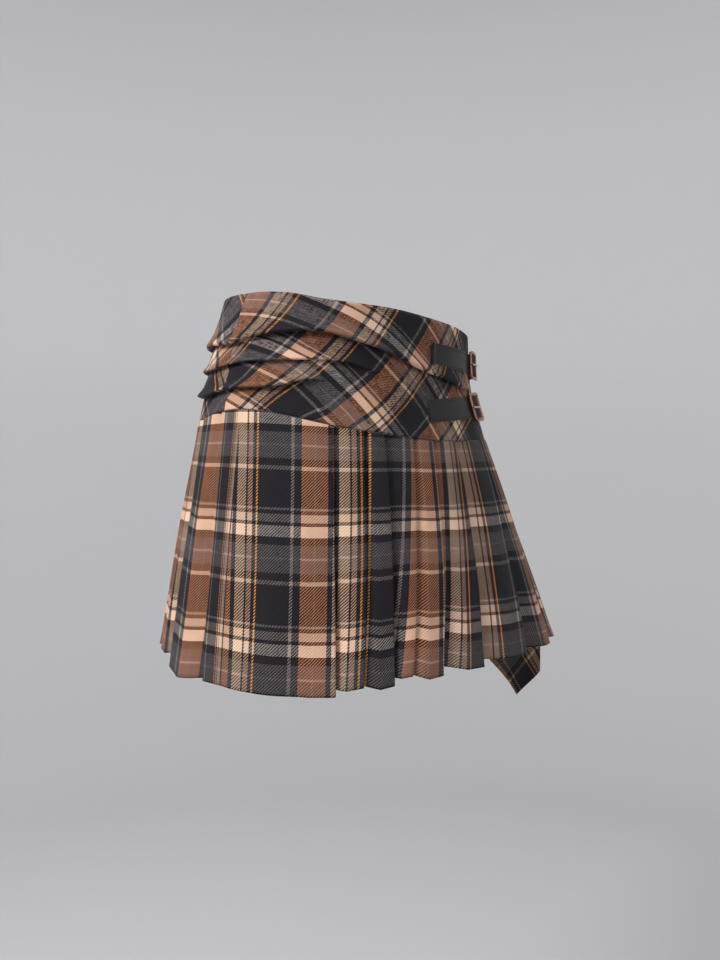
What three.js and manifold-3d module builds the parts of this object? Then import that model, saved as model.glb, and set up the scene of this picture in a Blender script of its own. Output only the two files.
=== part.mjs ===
// Plaid pleated mini skirt in its worn shape: a bias-cut hip yoke with soft sideways tucks,
// a knife-pleated skirt with a flat apron panel, a pointed side tail and two buckled straps.
// Lengths are millimetres and angles are degrees. +Z is up and the origin is the middle of
// the waist opening. The wearer faces -Y, so angle -90 is the centre front, 0 the wearer's
// left side (+X), 90 the centre back and 180 (or -180) the wearer's right side (-X).

import * as THREE from "three";
import { mergeVertices } from "three/addons/utils/BufferGeometryUtils.js";
import Module from "manifold-3d";

const wasm = await Module();
wasm.setup();

// Driving dimensions of the cloth
const CLOTH = 1.2;
const YOKE_WALL = 1.6;
const SEAM_GAP = 0.35;
const WELD = 1e-5;
const SWAY = { x: 0.669, y: -0.743 };

// Yoke sections: v runs from the waist edge (0) to the pleat seam (1)
const YOKE_SECTIONS = [
  { v: 0, halfWidth: 133.9, halfDepth: 95.6, sway: 1.8 },
  { v: 0.5, halfWidth: 143.5, halfDepth: 100.4, sway: -2 },
  { v: 1, halfWidth: 155.2, halfDepth: 113.7, sway: -0.5 },
];

// Skirt sections: s runs from the pleat seam (0) to the hem (1)
const SKIRT_SEAM = { halfWidth: 156.2, halfDepth: 114.7, sway: -0.5 };
const SKIRT_HEM = { halfWidth: 206.7, halfDepth: 166, sway: 15 };

// Heights of the three edge lines round the body, as pairs of angle and height
const WAIST_EDGE = [
  [-192, 11.8], [-180, 11.9], [-168, 11.9], [-155, 10.4], [-140, 5.5], [-125, 2.6],
  [-110, 0.3], [-90, -4.6], [-72, -8], [-55, -11.3], [-25, -12.5], [0, -11.5],
  [30, -7.7], [60, -1.9], [90, 4], [120, 8.5], [150, 11], [168, 11.8],
  [180, 11.9], [192, 11.9],
];
const YOKE_SEAM = [
  [-188, -90.6], [-180, -87.9], [-170, -86.8], [-160, -89], [-145, -95.4], [-130, -102.7],
  [-115, -107.6], [-100, -112.2], [-85, -112.9], [-70, -111.8], [-57, -111.5], [-30, -110.5],
  [0, -107], [30, -103], [60, -99], [90, -96], [120, -94.5], [145, -95.5],
  [156, -94.8], [164, -92.9], [172, -90.6], [180, -87.9], [190, -86.8],
];
const HEM_EDGE = [
  [-188, -300.2], [-178, -305.6], [-169, -308], [-161, -309], [-150, -309], [-139, -308.8],
  [-124, -301.1], [-111, -295.7], [-98, -295.4], [-79, -294.6], [-62, -296], [-30, -301],
  [0, -303], [30, -304], [60, -303], [90, -300], [120, -296], [140, -292],
  [156, -288.6], [164, -293.5], [172, -300.2], [182, -305.6],
];

// Tucks of the yoke: place of each fold edge down the yoke, and how fully it stands out
const TUCK_BULGE = 7;
const TUCK_UNDERCUT = { share: 0.018, level: 0.4 };
const TUCKS = [
  [
    { t: -180, v: 0.439, full: 1 },
    { t: -169, v: 0.4, full: 1 },
    { t: -160, v: 0.359, full: 1 },
    { t: -151, v: 0.32, full: 1 },
    { t: -143, v: 0.28, full: 1 },
    { t: -135, v: 0.277, full: 1 },
    { t: -127, v: 0.3, full: 1 },
    { t: -115, v: 0.344, full: 1 },
    { t: -106, v: 0.395, full: 0.92 },
    { t: -99, v: 0.434, full: 0.88 },
    { t: -91, v: 0.467, full: 0.8 },
    { t: -85, v: 0.482, full: 0.75 },
    { t: -76, v: 0.515, full: 0.55 },
    { t: -68, v: 0.52, full: 0.3 },
    { t: -58, v: 0.5, full: 0 },
    { t: 0, v: 0.4, full: 0 },
    { t: 40, v: 0.39, full: 0.4 },
    { t: 90, v: 0.4, full: 0.85 },
    { t: 140, v: 0.4, full: 1 },
    { t: 160, v: 0.4, full: 1 },
    { t: 172, v: 0.43, full: 1 },
    { t: 180, v: 0.439, full: 1 },
  ],
  [
    { t: -180, v: 0.62, full: 0.75 },
    { t: -167, v: 0.596, full: 0.75 },
    { t: -158, v: 0.578, full: 0.75 },
    { t: -146, v: 0.529, full: 0.72 },
    { t: -138, v: 0.497, full: 0.7 },
    { t: -127, v: 0.485, full: 0.5 },
    { t: -117, v: 0.52, full: 0.2 },
    { t: -108, v: 0.56, full: 0 },
    { t: -62, v: 0.64, full: 0 },
    { t: 0, v: 0.6, full: 0 },
    { t: 55, v: 0.61, full: 0.4 },
    { t: 100, v: 0.62, full: 0.7 },
    { t: 150, v: 0.6, full: 0.75 },
    { t: 167, v: 0.625, full: 0.75 },
    { t: 180, v: 0.62, full: 0.75 },
  ],
  [
    { t: -180, v: 0.83, full: 0.9 },
    { t: -171, v: 0.826, full: 0.9 },
    { t: -162, v: 0.812, full: 0.9 },
    { t: -154, v: 0.772, full: 0.85 },
    { t: -146, v: 0.7, full: 0.7 },
    { t: -141, v: 0.666, full: 0.5 },
    { t: -134, v: 0.66, full: 0 },
    { t: -105, v: 0.73, full: 0 },
    { t: -60, v: 0.8, full: 0 },
    { t: 0, v: 0.8, full: 0 },
    { t: 60, v: 0.81, full: 0.3 },
    { t: 110, v: 0.82, full: 0.7 },
    { t: 150, v: 0.8, full: 0.9 },
    { t: 166, v: 0.838, full: 0.9 },
    { t: 180, v: 0.83, full: 0.9 },
  ],
];
const TIER_PROFILE = [
  { u: 0.35, out: 0.14 },
  { u: 0.62, out: 0.34 },
  { u: 0.82, out: 0.72 },
  { u: 0.94, out: 1 },
  { u: 1, out: 0.62 },
];
const LAST_TIER_ROWS = 3;
const YOKE_INNER_ROWS = 7;
const YOKE_COLUMNS = 36;
const FRONT_SWELL = { t: -104, v: 0.72, spanT: 15, spanV: 0.15, height: 3 };

// Pleat fold edges, at the seam and at the hem. Facing 1 turns under towards smaller angles.
// Fullness scales the stack of layers, and step is how much lower the edge hangs at the hem.
const PLEATS = [
  { seam: -181.3, hem: -177.7, facing: -1, fullness: 1, step: 0.5 },
  { seam: -135.3, hem: -139.6, facing: 1, fullness: 1, step: 4 },
  { seam: -123.9, hem: -132.8, facing: 1, fullness: 0.5, step: 0.5 },
  { seam: -116.2, hem: -125, facing: 1, fullness: 1, step: 5 },
  { seam: -105, hem: -120.5, facing: 1, fullness: 0.5, step: 0.5 },
  { seam: -96.2, hem: -112.3, facing: 1, fullness: 1, step: 6 },
  { seam: -84.1, hem: -99.7, facing: 1, fullness: 1, step: 5 },
  { seam: -70.7, hem: -82.3, facing: 1, fullness: 1, step: 3 },
  { seam: -57, hem: -65, facing: 1, fullness: 1, step: 3 },
  { seam: -43, hem: -44.5, facing: 1, fullness: 1, step: 3 },
  { seam: -28, hem: -28, facing: 1, fullness: 1, step: 3 },
  { seam: -12, hem: -12, facing: 1, fullness: 1, step: 3 },
  { seam: 4, hem: 5, facing: 1, fullness: 1, step: 3 },
  { seam: 20, hem: 21, facing: 1, fullness: 1, step: 3 },
  { seam: 35, hem: 36.5, facing: 1, fullness: 1, step: 3 },
  { seam: 50, hem: 52, facing: 1, fullness: 1, step: 3 },
  { seam: 63, hem: 65, facing: 1, fullness: 1, step: 3 },
  { seam: 76, hem: 77, facing: 1, fullness: 1, step: 3 },
  { seam: 88.8, hem: 89, facing: 1, fullness: 1, step: 3 },
  { seam: 91.2, hem: 91, facing: -1, fullness: 1, step: 3 },
  { seam: 102.8, hem: 102.5, facing: -1, fullness: 1, step: 3 },
  { seam: 114.6, hem: 114.5, facing: -1, fullness: 1, step: 3 },
  { seam: 126.4, hem: 127, facing: -1, fullness: 1, step: 3 },
  { seam: 138.6, hem: 140.5, facing: -1, fullness: 1, step: 3 },
  { seam: 151, hem: 155.5, facing: -1, fullness: 1, step: 3 },
  { seam: 162.7, hem: 163.3, facing: -1, fullness: 1, step: 10 },
];
const FRONT_PLEATS = 13;
const SKIRT_ROWS = [0, 0.08, 0.16, 0.24, 0.36, 0.5, 0.64, 0.8, 0.92, 1];
const LAYER_PITCH = { seam: 2.4, hem: 4.5 };
const STITCHED_TO = 0.2;
const PLEAT_DEPTH = 20;
const DEPTH_SHARE = 0.55;
const FOLD_NOSE = 1.2;
const PANEL_STEP = 16;
const PAST_EDGE = 1;
const MITRE_LIMIT = 0.75;

// Side tail: a bias strip that hangs from the yoke seam to a point below the hem
const TAIL = {
  angle: -11, topWidth: 58, width: 74, drop: 6, corner: -353, tip: -386, clear: 0.8,
  flaresTo: 1.1, columns: 8, rows: 14,
};

// Straps: angle and centre height at the sewn end (from) and at the buckle's centre bar (to)
const STRAPS = [
  { name: "upper", from: { t: -91, z: -36.1 }, to: { t: -51, z: -40.3 } },
  { name: "lower", from: { t: -95.5, z: -87.1 }, to: { t: -60, z: -80.4 } },
];
const STRAP_HALF = 10;
const STRAP_THICK = 1.4;
const STRAP_STEP = 5;
const STRAP_TIP = { from: 33, shoulder: 38.4, to: 42, half: 3 };
const SEAT_SAMPLES = 10;
const BEND_STEPS = 40;
const ARC_STEP = 0.5;

// Buckle: a rounded frame that leans outwards, and a centre bar
const BUCKLE = { halfLength: 12, halfHeight: 13.5, bar: 3, corner: 3, hole: 1, thick: 2.5, base: 2.9, lean: 0.095 };
const CENTRE_BAR = { half: 1.2, low: 2.4, high: 4.4, reach: 12 };
const CORNER_SEGMENTS = 3;
const SLOT = { along: 1.2, across: 1.4 };
const STRAP_SLOT = { low: 5.5, high: 8 };
const CHAPE_SLOT = { low: 4.5, high: 6 };
const PRONG_WIDTH = 2;
const CHAPE_HALF = 9.5;

// Side views of the leather and the prong at the buckle: distance along the strap from the
// centre bar, and height above the yoke
const STRAP_PATH = [
  { along: -14, lift: 0.5 },
  { along: -12, lift: 0.95 },
  { along: -8, lift: 0.95 },
  { along: -2.5, lift: 6 },
  { along: 2.5, lift: 6 },
  { along: 8, lift: 3.1 },
  { along: 21, lift: 3.1 },
  { along: 27, lift: 0.5 },
];
const CHAPE_OUTLINE = [
  [20, 0.5], [10, 0.5], [-1.6, 0.5], [-2.5, 1.4], [-2.5, 4.8], [-1.6, 5.7], [1.8, 5.7],
  [7, 2.8], [20, 2.8], [20, 1.8], [6.6, 1.8], [1.5, 4.7], [-1.5, 4.7], [-1.5, 1.5], [20, 1.5],
];
const PRONG_OUTLINE = [
  [-0.8, 4.75], [0.8, 4.75], [0.8, 8.6], [0.2, 9.3], [-3, 9.3], [-12, 7.25], [-15, 8.2],
  [-15.4, 7.4], [-15, 6.6], [-12, 5.65], [-3.4, 7.75], [-0.8, 7.75],
];

// Finishes
const PLAID = { color: 0x6e4a3a, roughness: 0.9, metalness: 0 };
const LEATHER = { color: 0x1c1b1d, roughness: 0.45, metalness: 0 };
const COPPER = { color: 0xb07858, roughness: 0.3, metalness: 1 };
const SILVER = { color: 0xc9c5bb, roughness: 0.25, metalness: 1 };

// Small maths
const rad = (degrees) => (degrees * Math.PI) / 180;
const mix = (a, b, f) => a + (b - a) * f;
const ease = (f) => f * f * (3 - 2 * f);
const clamp = (f) => Math.min(1, Math.max(0, f));

// A smooth curve through the rows of a short table
function along(table, key, x, column) {
  const last = table.length - 1;
  if (x <= table[0][key]) return table[0][column];
  if (x >= table[last][key]) return table[last][column];
  let i = 0;
  while (x > table[i + 1][key]) i += 1;
  const slope = (j) => {
    const before = table[Math.max(0, j - 1)];
    const after = table[Math.min(last, j + 1)];
    return (after[column] - before[column]) / (after[key] - before[key]);
  };
  const width = table[i + 1][key] - table[i][key];
  const f = (x - table[i][key]) / width;
  const line = mix(table[i][column], table[i + 1][column], ease(f));
  return line + width * f * (1 - f) * (slope(i) * (1 - f) - slope(i + 1) * f);
}

function edgeHeight(edge, t) {
  return along(edge, 0, t - 360 * Math.round(t / 360), 1);
}

function yokeSection(v) {
  const column = (name) => along(YOKE_SECTIONS, "v", v, name);
  return { halfWidth: column("halfWidth"), halfDepth: column("halfDepth"), sway: column("sway") };
}

function skirtSection(s) {
  return {
    halfWidth: mix(SKIRT_SEAM.halfWidth, SKIRT_HEM.halfWidth, s),
    halfDepth: mix(SKIRT_SEAM.halfDepth, SKIRT_HEM.halfDepth, s),
    sway: mix(SKIRT_SEAM.sway, SKIRT_HEM.sway, s),
  };
}

function arcPerDegree(section, t) {
  const across = section.halfWidth * Math.sin(rad(t));
  const deep = section.halfDepth * Math.cos(rad(t));
  return rad(Math.hypot(across, deep));
}

// Point at an angle and a height, moved out of the section's ellipse along its normal
function onSection(section, t, out, z) {
  const c = Math.cos(rad(t));
  const s = Math.sin(rad(t));
  const normal = new THREE.Vector2(c / section.halfWidth, s / section.halfDepth).normalize();
  const x = section.halfWidth * c + section.sway * SWAY.x + out * normal.x;
  const y = section.halfDepth * s + section.sway * SWAY.y + out * normal.y;
  return new THREE.Vector3(x, y, z);
}

function yokePoint(t, v, out) {
  const z = mix(edgeHeight(WAIST_EDGE, t), edgeHeight(YOKE_SEAM, t), v);
  return onSection(yokeSection(v), t, out, z);
}

// Closed geometry from points and triangles, with its faces turned outwards
function closedGeometry(points, triangles) {
  let volume = 0;
  for (const [a, b, c] of triangles) {
    volume += points[a].dot(new THREE.Vector3().crossVectors(points[b], points[c]));
  }
  const outward = volume > 0 ? triangles : triangles.map(([a, b, c]) => [a, c, b]);
  const geometry = new THREE.BufferGeometry();
  const positions = points.flatMap((p) => [p.x, p.y, p.z]);
  geometry.setAttribute("position", new THREE.Float32BufferAttribute(positions, 3));
  geometry.setIndex(outward.flat());
  return geometry;
}

// Cloth wall between an outer and an inner grid of points, rows from top to bottom.
// The grids share their columns and may differ in rows.
function clothWall(outer, inner) {
  const columns = outer[0].length;
  const points = [...outer.flat(), ...inner.flat()];
  const outerAt = (row, column) => row * columns + column;
  const innerAt = (row, column) => (outer.length + row) * columns + column;
  const triangles = [];
  const quad = (a, b, c, d) => triangles.push([a, b, c], [a, c, d]);
  for (let column = 0; column < columns - 1; column += 1) {
    for (let row = 0; row < outer.length - 1; row += 1) {
      quad(outerAt(row, column), outerAt(row + 1, column),
        outerAt(row + 1, column + 1), outerAt(row, column + 1));
    }
    for (let row = 0; row < inner.length - 1; row += 1) {
      quad(innerAt(row, column), innerAt(row, column + 1),
        innerAt(row + 1, column + 1), innerAt(row + 1, column));
    }
    quad(outerAt(0, column), outerAt(0, column + 1), innerAt(0, column + 1), innerAt(0, column));
    const low = outer.length - 1;
    const deep = inner.length - 1;
    quad(outerAt(low, column), innerAt(deep, column),
      innerAt(deep, column + 1), outerAt(low, column + 1));
  }
  for (const column of [0, columns - 1]) {
    triangles.push(...sideCap(outer, inner, column, outerAt, innerAt));
  }
  return closedGeometry(points, triangles);
}

// End face of a wall at one column, a flat outline of the wall's thickness and height
function sideCap(outer, inner, column, outerAt, innerAt) {
  const down = outer.map((row, i) => ({ point: row[column], index: outerAt(i, column) }));
  const up = inner.map((row, i) => ({ point: row[column], index: innerAt(i, column) })).reverse();
  const loop = [...down, ...up];
  const top = outer[0][column];
  const across = new THREE.Vector3().subVectors(top, inner[0][column]).setZ(0).normalize();
  const flat = loop.map(({ point }) => {
    const offset = new THREE.Vector3().subVectors(point, top);
    return new THREE.Vector2(offset.dot(across), point.z);
  });
  const faces = THREE.ShapeUtils.triangulateShape(flat, []);
  const forwards = THREE.ShapeUtils.area(flat) > 0 === (column > 0);
  return faces.map(([a, b, c]) => {
    const [p, q, r] = [loop[a].index, loop[b].index, loop[c].index];
    return forwards ? [p, q, r] : [p, r, q];
  });
}

// Yoke: one column of the outer face as (v, out) pairs from the waist edge to the seam
function tuckColumn(t) {
  const column = [{ v: 0, out: 0 }];
  let start = 0;
  for (const tuck of TUCKS) {
    const edge = along(tuck, "t", t, "v");
    const full = clamp(along(tuck, "t", t, "full"));
    for (const { u, out } of TIER_PROFILE) {
      column.push({ v: mix(start, edge, u), out: out * full * TUCK_BULGE });
    }
    start = edge + TUCK_UNDERCUT.share * (TUCK_UNDERCUT.level - full);
    column.push({ v: start, out: 0 });
  }
  for (let row = 1; row <= LAST_TIER_ROWS; row += 1) {
    column.push({ v: mix(start, 1, row / LAST_TIER_ROWS), out: 0 });
  }
  return column.map(({ v, out }) => ({ v, out: out + swell(t, v) }));
}

function swell(t, v) {
  const across = (t - FRONT_SWELL.t) / FRONT_SWELL.spanT;
  const down = (v - FRONT_SWELL.v) / FRONT_SWELL.spanV;
  return FRONT_SWELL.height * Math.exp(-across * across - down * down);
}

function yoke(from, to) {
  const margin = SEAM_GAP / 2 / arcPerDegree(yokeSection(0.5), 0);
  const angles = [];
  for (let i = 0; i <= YOKE_COLUMNS; i += 1) {
    angles.push(mix(from + margin, to - margin, i / YOKE_COLUMNS));
  }
  const columns = angles.map((t) => tuckColumn(t).map(({ v, out }) => yokePoint(t, v, out)));
  const outer = columns[0].map((_, row) => columns.map((column) => column[row]));
  const inner = [];
  for (let row = 0; row <= YOKE_INNER_ROWS; row += 1) {
    inner.push(angles.map((t) => yokePoint(t, row / YOKE_INNER_ROWS, -YOKE_WALL)));
  }
  return clothWall(outer, inner);
}

// Pleats: angle of a fold edge, and its stack height, at one level down the skirt
function foldAt(pleat, s) {
  const edge = mix(pleat.seam, pleat.hem, s);
  const released = ease(clamp((s - STITCHED_TO) / (1 - STITCHED_TO)));
  const pitch = mix(LAYER_PITCH.seam, LAYER_PITCH.hem * pleat.fullness, released);
  return { edge, pitch, arc: arcPerDegree(skirtSection(s), edge) };
}

// Depth that is turned under, held below a share of the visible panel over it
function turnedUnder(index) {
  const pleat = PLEATS[index];
  const next = (index + PLEATS.length - pleat.facing) % PLEATS.length;
  const over = [0, 1].map((s) => {
    const gap = Math.abs(foldAt(PLEATS[next], s).edge - foldAt(pleat, s).edge);
    return Math.min(gap, 360 - gap) * foldAt(pleat, s).arc;
  });
  return Math.min(PLEAT_DEPTH, DEPTH_SHARE * Math.min(...over));
}

// A point of the pleated line: how far back from the fold edge, and on which layer (0 to 2)
function layerPoint(index, s, back, layer) {
  const pleat = PLEATS[index];
  const { edge, pitch, arc } = foldAt(pleat, s);
  return {
    t: edge - (pleat.facing * back) / arc,
    out: -(2 - layer) * pitch,
    hang: (pleat.step * layer * s * s) / 2,
  };
}

function foldLine(index, s) {
  const depth = turnedUnder(index);
  const line = [
    layerPoint(index, s, FOLD_NOSE, 2),
    layerPoint(index, s, 0, 1.5),
    layerPoint(index, s, FOLD_NOSE, 1),
    layerPoint(index, s, depth - FOLD_NOSE, 1),
    layerPoint(index, s, depth, 0.5),
    layerPoint(index, s, depth - FOLD_NOSE, 0),
  ];
  return PLEATS[index].facing > 0 ? line : line.reverse();
}

// Where the open panel begins beside a fold: over the turned-under layers, or past its edge
function panelEnd(index, s, side) {
  const covers = PLEATS[index].facing !== side;
  const depth = turnedUnder(index);
  return covers ? layerPoint(index, s, depth + FOLD_NOSE, 2) : layerPoint(index, s, -PAST_EDGE, 0);
}

function panelLine(left, right, s, turn) {
  const a = panelEnd(left, s, 1);
  const b = panelEnd(right, s, -1);
  const seamArc = foldAt(PLEATS[left], 1).arc;
  const span = (panelEnd(right, 1, -1).t + turn - panelEnd(left, 1, 1).t) * seamArc;
  const steps = Math.max(1, Math.round(span / PANEL_STEP));
  const line = [];
  for (let i = 0; i <= steps; i += 1) {
    const f = i / steps;
    line.push({ t: mix(a.t, b.t + turn, f), out: mix(a.out, b.out, f), hang: mix(a.hang, b.hang, f) });
  }
  return line;
}

// Middle line of the cloth at one level, from inside the first fold to inside the last
function pleatedLine(first, count, s) {
  const line = [];
  for (let i = 0; i < count; i += 1) {
    const index = first + i;
    line.push(...foldLine(index, s));
    if (i < count - 1) line.push(...panelLine(index, index + 1, s, 0));
  }
  return line;
}

// The split between front and back lies inside a turned-under layer at each side
function splitPoint(index, s, shift) {
  return layerPoint(index, s, turnedUnder(index) / 2 + shift, 0);
}

function frontLine(s) {
  const start = splitPoint(0, s, SEAM_GAP);
  const end = splitPoint(FRONT_PLEATS - 1, s, SEAM_GAP);
  return [start, ...pleatedLine(0, FRONT_PLEATS, s), end];
}

function backLine(s) {
  const last = FRONT_PLEATS - 1;
  const start = splitPoint(last, s, 0);
  const end = splitPoint(0, s, 0);
  const turn = (point) => ({ ...point, t: point.t + 360 });
  return [
    start,
    ...panelLine(last, last + 1, s, 0),
    ...pleatedLine(FRONT_PLEATS, PLEATS.length - FRONT_PLEATS, s),
    ...panelLine(PLEATS.length - 1, 0, s, 360),
    turn(end),
  ];
}

function skirtPanel(lineAt) {
  const outer = [];
  const inner = [];
  for (const s of SKIRT_ROWS) {
    const section = skirtSection(s);
    const middle = lineAt(s).map(({ t, out, hang }) => {
      const top = edgeHeight(YOKE_SEAM, t) - SEAM_GAP;
      const z = mix(top, edgeHeight(HEM_EDGE, t), s) - hang;
      return onSection(section, t, out - CLOTH / 2, z);
    });
    outer.push(offsetLine(middle, CLOTH / 2));
    inner.push(offsetLine(middle, -CLOTH / 2));
  }
  return clothWall(outer, inner);
}

// A level line moved sideways by a set distance, with its corners mitred
function offsetLine(line, distance) {
  const direction = (a, b) => new THREE.Vector2(b.x - a.x, b.y - a.y).normalize();
  return line.map((point, i) => {
    const before = direction(line[Math.max(0, i - 1)], line[Math.max(1, i)]);
    const after = direction(line[Math.min(i, line.length - 2)], line[Math.min(i + 1, line.length - 1)]);
    const normal = new THREE.Vector2(before.y + after.y, -before.x - after.x).normalize();
    const mitre = distance / Math.max(MITRE_LIMIT, normal.dot(new THREE.Vector2(after.y, -after.x)));
    return new THREE.Vector3(point.x + normal.x * mitre, point.y + normal.y * mitre, point.z);
  });
}

// Side tail: columns across its width, each ending on the pointed lower edge
function sideTail() {
  const grid = (out) => {
    const rows = [];
    for (let row = 0; row <= TAIL.rows; row += 1) {
      const points = [];
      for (let column = 0; column <= TAIL.columns; column += 1) {
        points.push(tailPoint(row / TAIL.rows, (2 * column) / TAIL.columns - 1, out));
      }
      rows.push(points);
    }
    return rows;
  };
  return clothWall(grid(TAIL.clear + CLOTH), grid(TAIL.clear));
}

function tailPoint(down, side, out) {
  const bottom = mix(TAIL.tip, TAIL.corner, Math.abs(side));
  const z = mix(edgeHeight(YOKE_SEAM, TAIL.angle) - TAIL.drop, bottom, down);
  const width = mix(TAIL.topWidth, TAIL.width, skirtLevel(TAIL.angle, z));
  const arc = arcPerDegree(skirtSection(skirtLevel(TAIL.angle, z)), TAIL.angle);
  const t = TAIL.angle + (side * width) / 2 / arc;
  return onSection(skirtSection(skirtLevel(t, z)), t, out, z);
}

// How far down the skirt (0 at the seam, 1 at the hem) a height lies at an angle
function skirtLevel(t, z) {
  const top = edgeHeight(YOKE_SEAM, t) - SEAM_GAP;
  const level = (top - z) / (top - edgeHeight(HEM_EDGE, t));
  return Math.min(TAIL.flaresTo, Math.max(0, level));
}

// Flat solids in strap space: x along the strap, y across it, z up from the yoke
function extruded(outline, halfWidth) {
  const shape = new THREE.Shape(outline.map(([x, lift]) => new THREE.Vector2(x, lift)));
  const geometry = new THREE.ExtrudeGeometry(shape, { depth: 2 * halfWidth, bevelEnabled: false });
  geometry.translate(0, 0, -halfWidth);
  return geometry.rotateX(Math.PI / 2);
}

function box(x0, x1, halfWidth, low, high) {
  const geometry = new THREE.BoxGeometry(x1 - x0, 2 * halfWidth, high - low);
  return geometry.translate((x0 + x1) / 2, 0, (low + high) / 2);
}

// Room for the prong to pass through the leather over the centre bar
function prongSlot({ low, high }) {
  return toSolid(box(-SLOT.along, SLOT.along, SLOT.across, low, high));
}

function toSolid(geometry) {
  const bare = geometry.clone();
  bare.deleteAttribute("normal");
  bare.deleteAttribute("uv");
  const merged = mergeVertices(bare, WELD);
  const vertProperties = new Float32Array(merged.attributes.position.array);
  const triVerts = new Uint32Array(merged.index.array);
  return new wasm.Manifold(new wasm.Mesh({ numProp: 3, vertProperties, triVerts }));
}

function toGeometry(solid) {
  const mesh = solid.getMesh();
  const geometry = new THREE.BufferGeometry();
  geometry.setAttribute("position", new THREE.Float32BufferAttribute(mesh.vertProperties, 3));
  geometry.setIndex([...mesh.triVerts]);
  return geometry;
}

function strapLength({ from, to }) {
  const section = yokeSection(0.5);
  let length = 0;
  for (let t = from.t; t < to.t; t += ARC_STEP) length += arcPerDegree(section, t) * ARC_STEP;
  return length;
}

function strapBlank(strap) {
  const length = strapLength(strap);
  const first = STRAP_PATH[0].along;
  const stations = [];
  const plainSteps = Math.round((length + first) / STRAP_STEP);
  for (let i = 0; i < plainSteps; i += 1) stations.push(mix(-length, first, i / plainSteps));
  for (const { along: place } of STRAP_PATH) stations.push(place);
  stations.push(STRAP_TIP.from, STRAP_TIP.shoulder, STRAP_TIP.to);
  const grid = (thickness) => {
    const sides = [-1, 0, 1];
    return stations.map((x) => sides.map((side) => {
      const past = clamp((x - STRAP_TIP.from) / (STRAP_TIP.to - STRAP_TIP.from));
      const half = mix(STRAP_HALF, STRAP_TIP.half, past);
      return new THREE.Vector3(x, side * half, strapLift(x) + thickness);
    }));
  };
  const blank = toSolid(clothWallFlat(grid(STRAP_THICK), grid(0)));
  return toGeometry(blank.subtract(prongSlot(STRAP_SLOT)));
}

function strapLift(x) {
  const last = STRAP_PATH.length - 1;
  if (x <= STRAP_PATH[0].along) return STRAP_PATH[0].lift;
  if (x >= STRAP_PATH[last].along) return STRAP_PATH[last].lift;
  let i = 0;
  while (x > STRAP_PATH[i + 1].along) i += 1;
  const a = STRAP_PATH[i];
  const b = STRAP_PATH[i + 1];
  return mix(a.lift, b.lift, (x - a.along) / (b.along - a.along));
}

// Closed slab between two grids of the same size, for the flat leather
function clothWallFlat(upper, lower) {
  const rows = upper.length;
  const columns = upper[0].length;
  const points = [...upper.flat(), ...lower.flat()];
  const at = (layer, row, column) => (layer * rows + row) * columns + column;
  const triangles = [];
  const quad = (a, b, c, d) => triangles.push([a, b, c], [a, c, d]);
  for (let row = 0; row < rows - 1; row += 1) {
    for (let column = 0; column < columns - 1; column += 1) {
      quad(at(0, row, column), at(0, row + 1, column),
        at(0, row + 1, column + 1), at(0, row, column + 1));
      quad(at(1, row, column), at(1, row, column + 1),
        at(1, row + 1, column + 1), at(1, row + 1, column));
    }
    const end = columns - 1;
    quad(at(0, row, 0), at(1, row, 0), at(1, row + 1, 0), at(0, row + 1, 0));
    quad(at(0, row, end), at(0, row + 1, end), at(1, row + 1, end), at(1, row, end));
  }
  for (let column = 0; column < columns - 1; column += 1) {
    const end = rows - 1;
    quad(at(0, 0, column), at(0, 0, column + 1), at(1, 0, column + 1), at(1, 0, column));
    quad(at(0, end, column), at(1, end, column), at(1, end, column + 1), at(0, end, column + 1));
  }
  return closedGeometry(points, triangles);
}

function chapeBlank() {
  const folded = toSolid(extruded(CHAPE_OUTLINE, CHAPE_HALF));
  return toGeometry(folded.subtract(prongSlot(CHAPE_SLOT)));
}

function roundedRectangle(halfX, halfY, radius, path) {
  path.moveTo(halfX - radius, -halfY);
  path.absarc(halfX - radius, -halfY + radius, radius, -Math.PI / 2, 0);
  path.absarc(halfX - radius, halfY - radius, radius, 0, Math.PI / 2);
  path.absarc(-halfX + radius, halfY - radius, radius, Math.PI / 2, Math.PI);
  path.absarc(-halfX + radius, -halfY + radius, radius, Math.PI, 1.5 * Math.PI);
  path.closePath();
  return path;
}

function buckleBlank() {
  const { halfLength, halfHeight, bar, corner, hole, thick, base, lean } = BUCKLE;
  const frame = roundedRectangle(halfLength, halfHeight, corner, new THREE.Shape());
  frame.holes.push(roundedRectangle(halfLength - bar, halfHeight - bar, hole, new THREE.Path()));
  const options = { depth: thick, bevelEnabled: false, curveSegments: CORNER_SEGMENTS };
  const ring = new THREE.ExtrudeGeometry(frame, options);
  const position = ring.attributes.position;
  for (let i = 0; i < position.count; i += 1) {
    const rise = base + lean * (position.getX(i) + halfLength - bar / 2);
    position.setZ(i, position.getZ(i) + rise);
  }
  const { half, low, high, reach } = CENTRE_BAR;
  return toGeometry(toSolid(ring).add(toSolid(box(-half, half, reach, low, high))));
}

function prongBlank() {
  return toGeometry(toSolid(extruded(PRONG_OUTLINE, PRONG_WIDTH / 2)));
}

// Height that the yoke's tucks reach under a strap, so that the strap lies over them
function tuckHeightUnder(strap, t) {
  const waist = edgeHeight(WAIST_EDGE, t);
  const seam = edgeHeight(YOKE_SEAM, t);
  const column = tuckColumn(t);
  let highest = 0;
  for (let i = 0; i <= SEAT_SAMPLES; i += 1) {
    const across = mix(-STRAP_HALF, STRAP_HALF, i / SEAT_SAMPLES);
    const v = (waist - strapHeight(strap, t) - across) / (waist - seam);
    for (let row = 1; row < column.length; row += 1) {
      const [a, b] = [column[row - 1], column[row]];
      const f = (v - a.v) / (b.v - a.v);
      if (f >= 0 && f <= 1) highest = Math.max(highest, mix(a.out, b.out, f));
    }
  }
  return highest;
}

function strapHeight({ from, to }, t) {
  return mix(from.z, to.z, (t - from.t) / (to.t - from.t));
}

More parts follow.
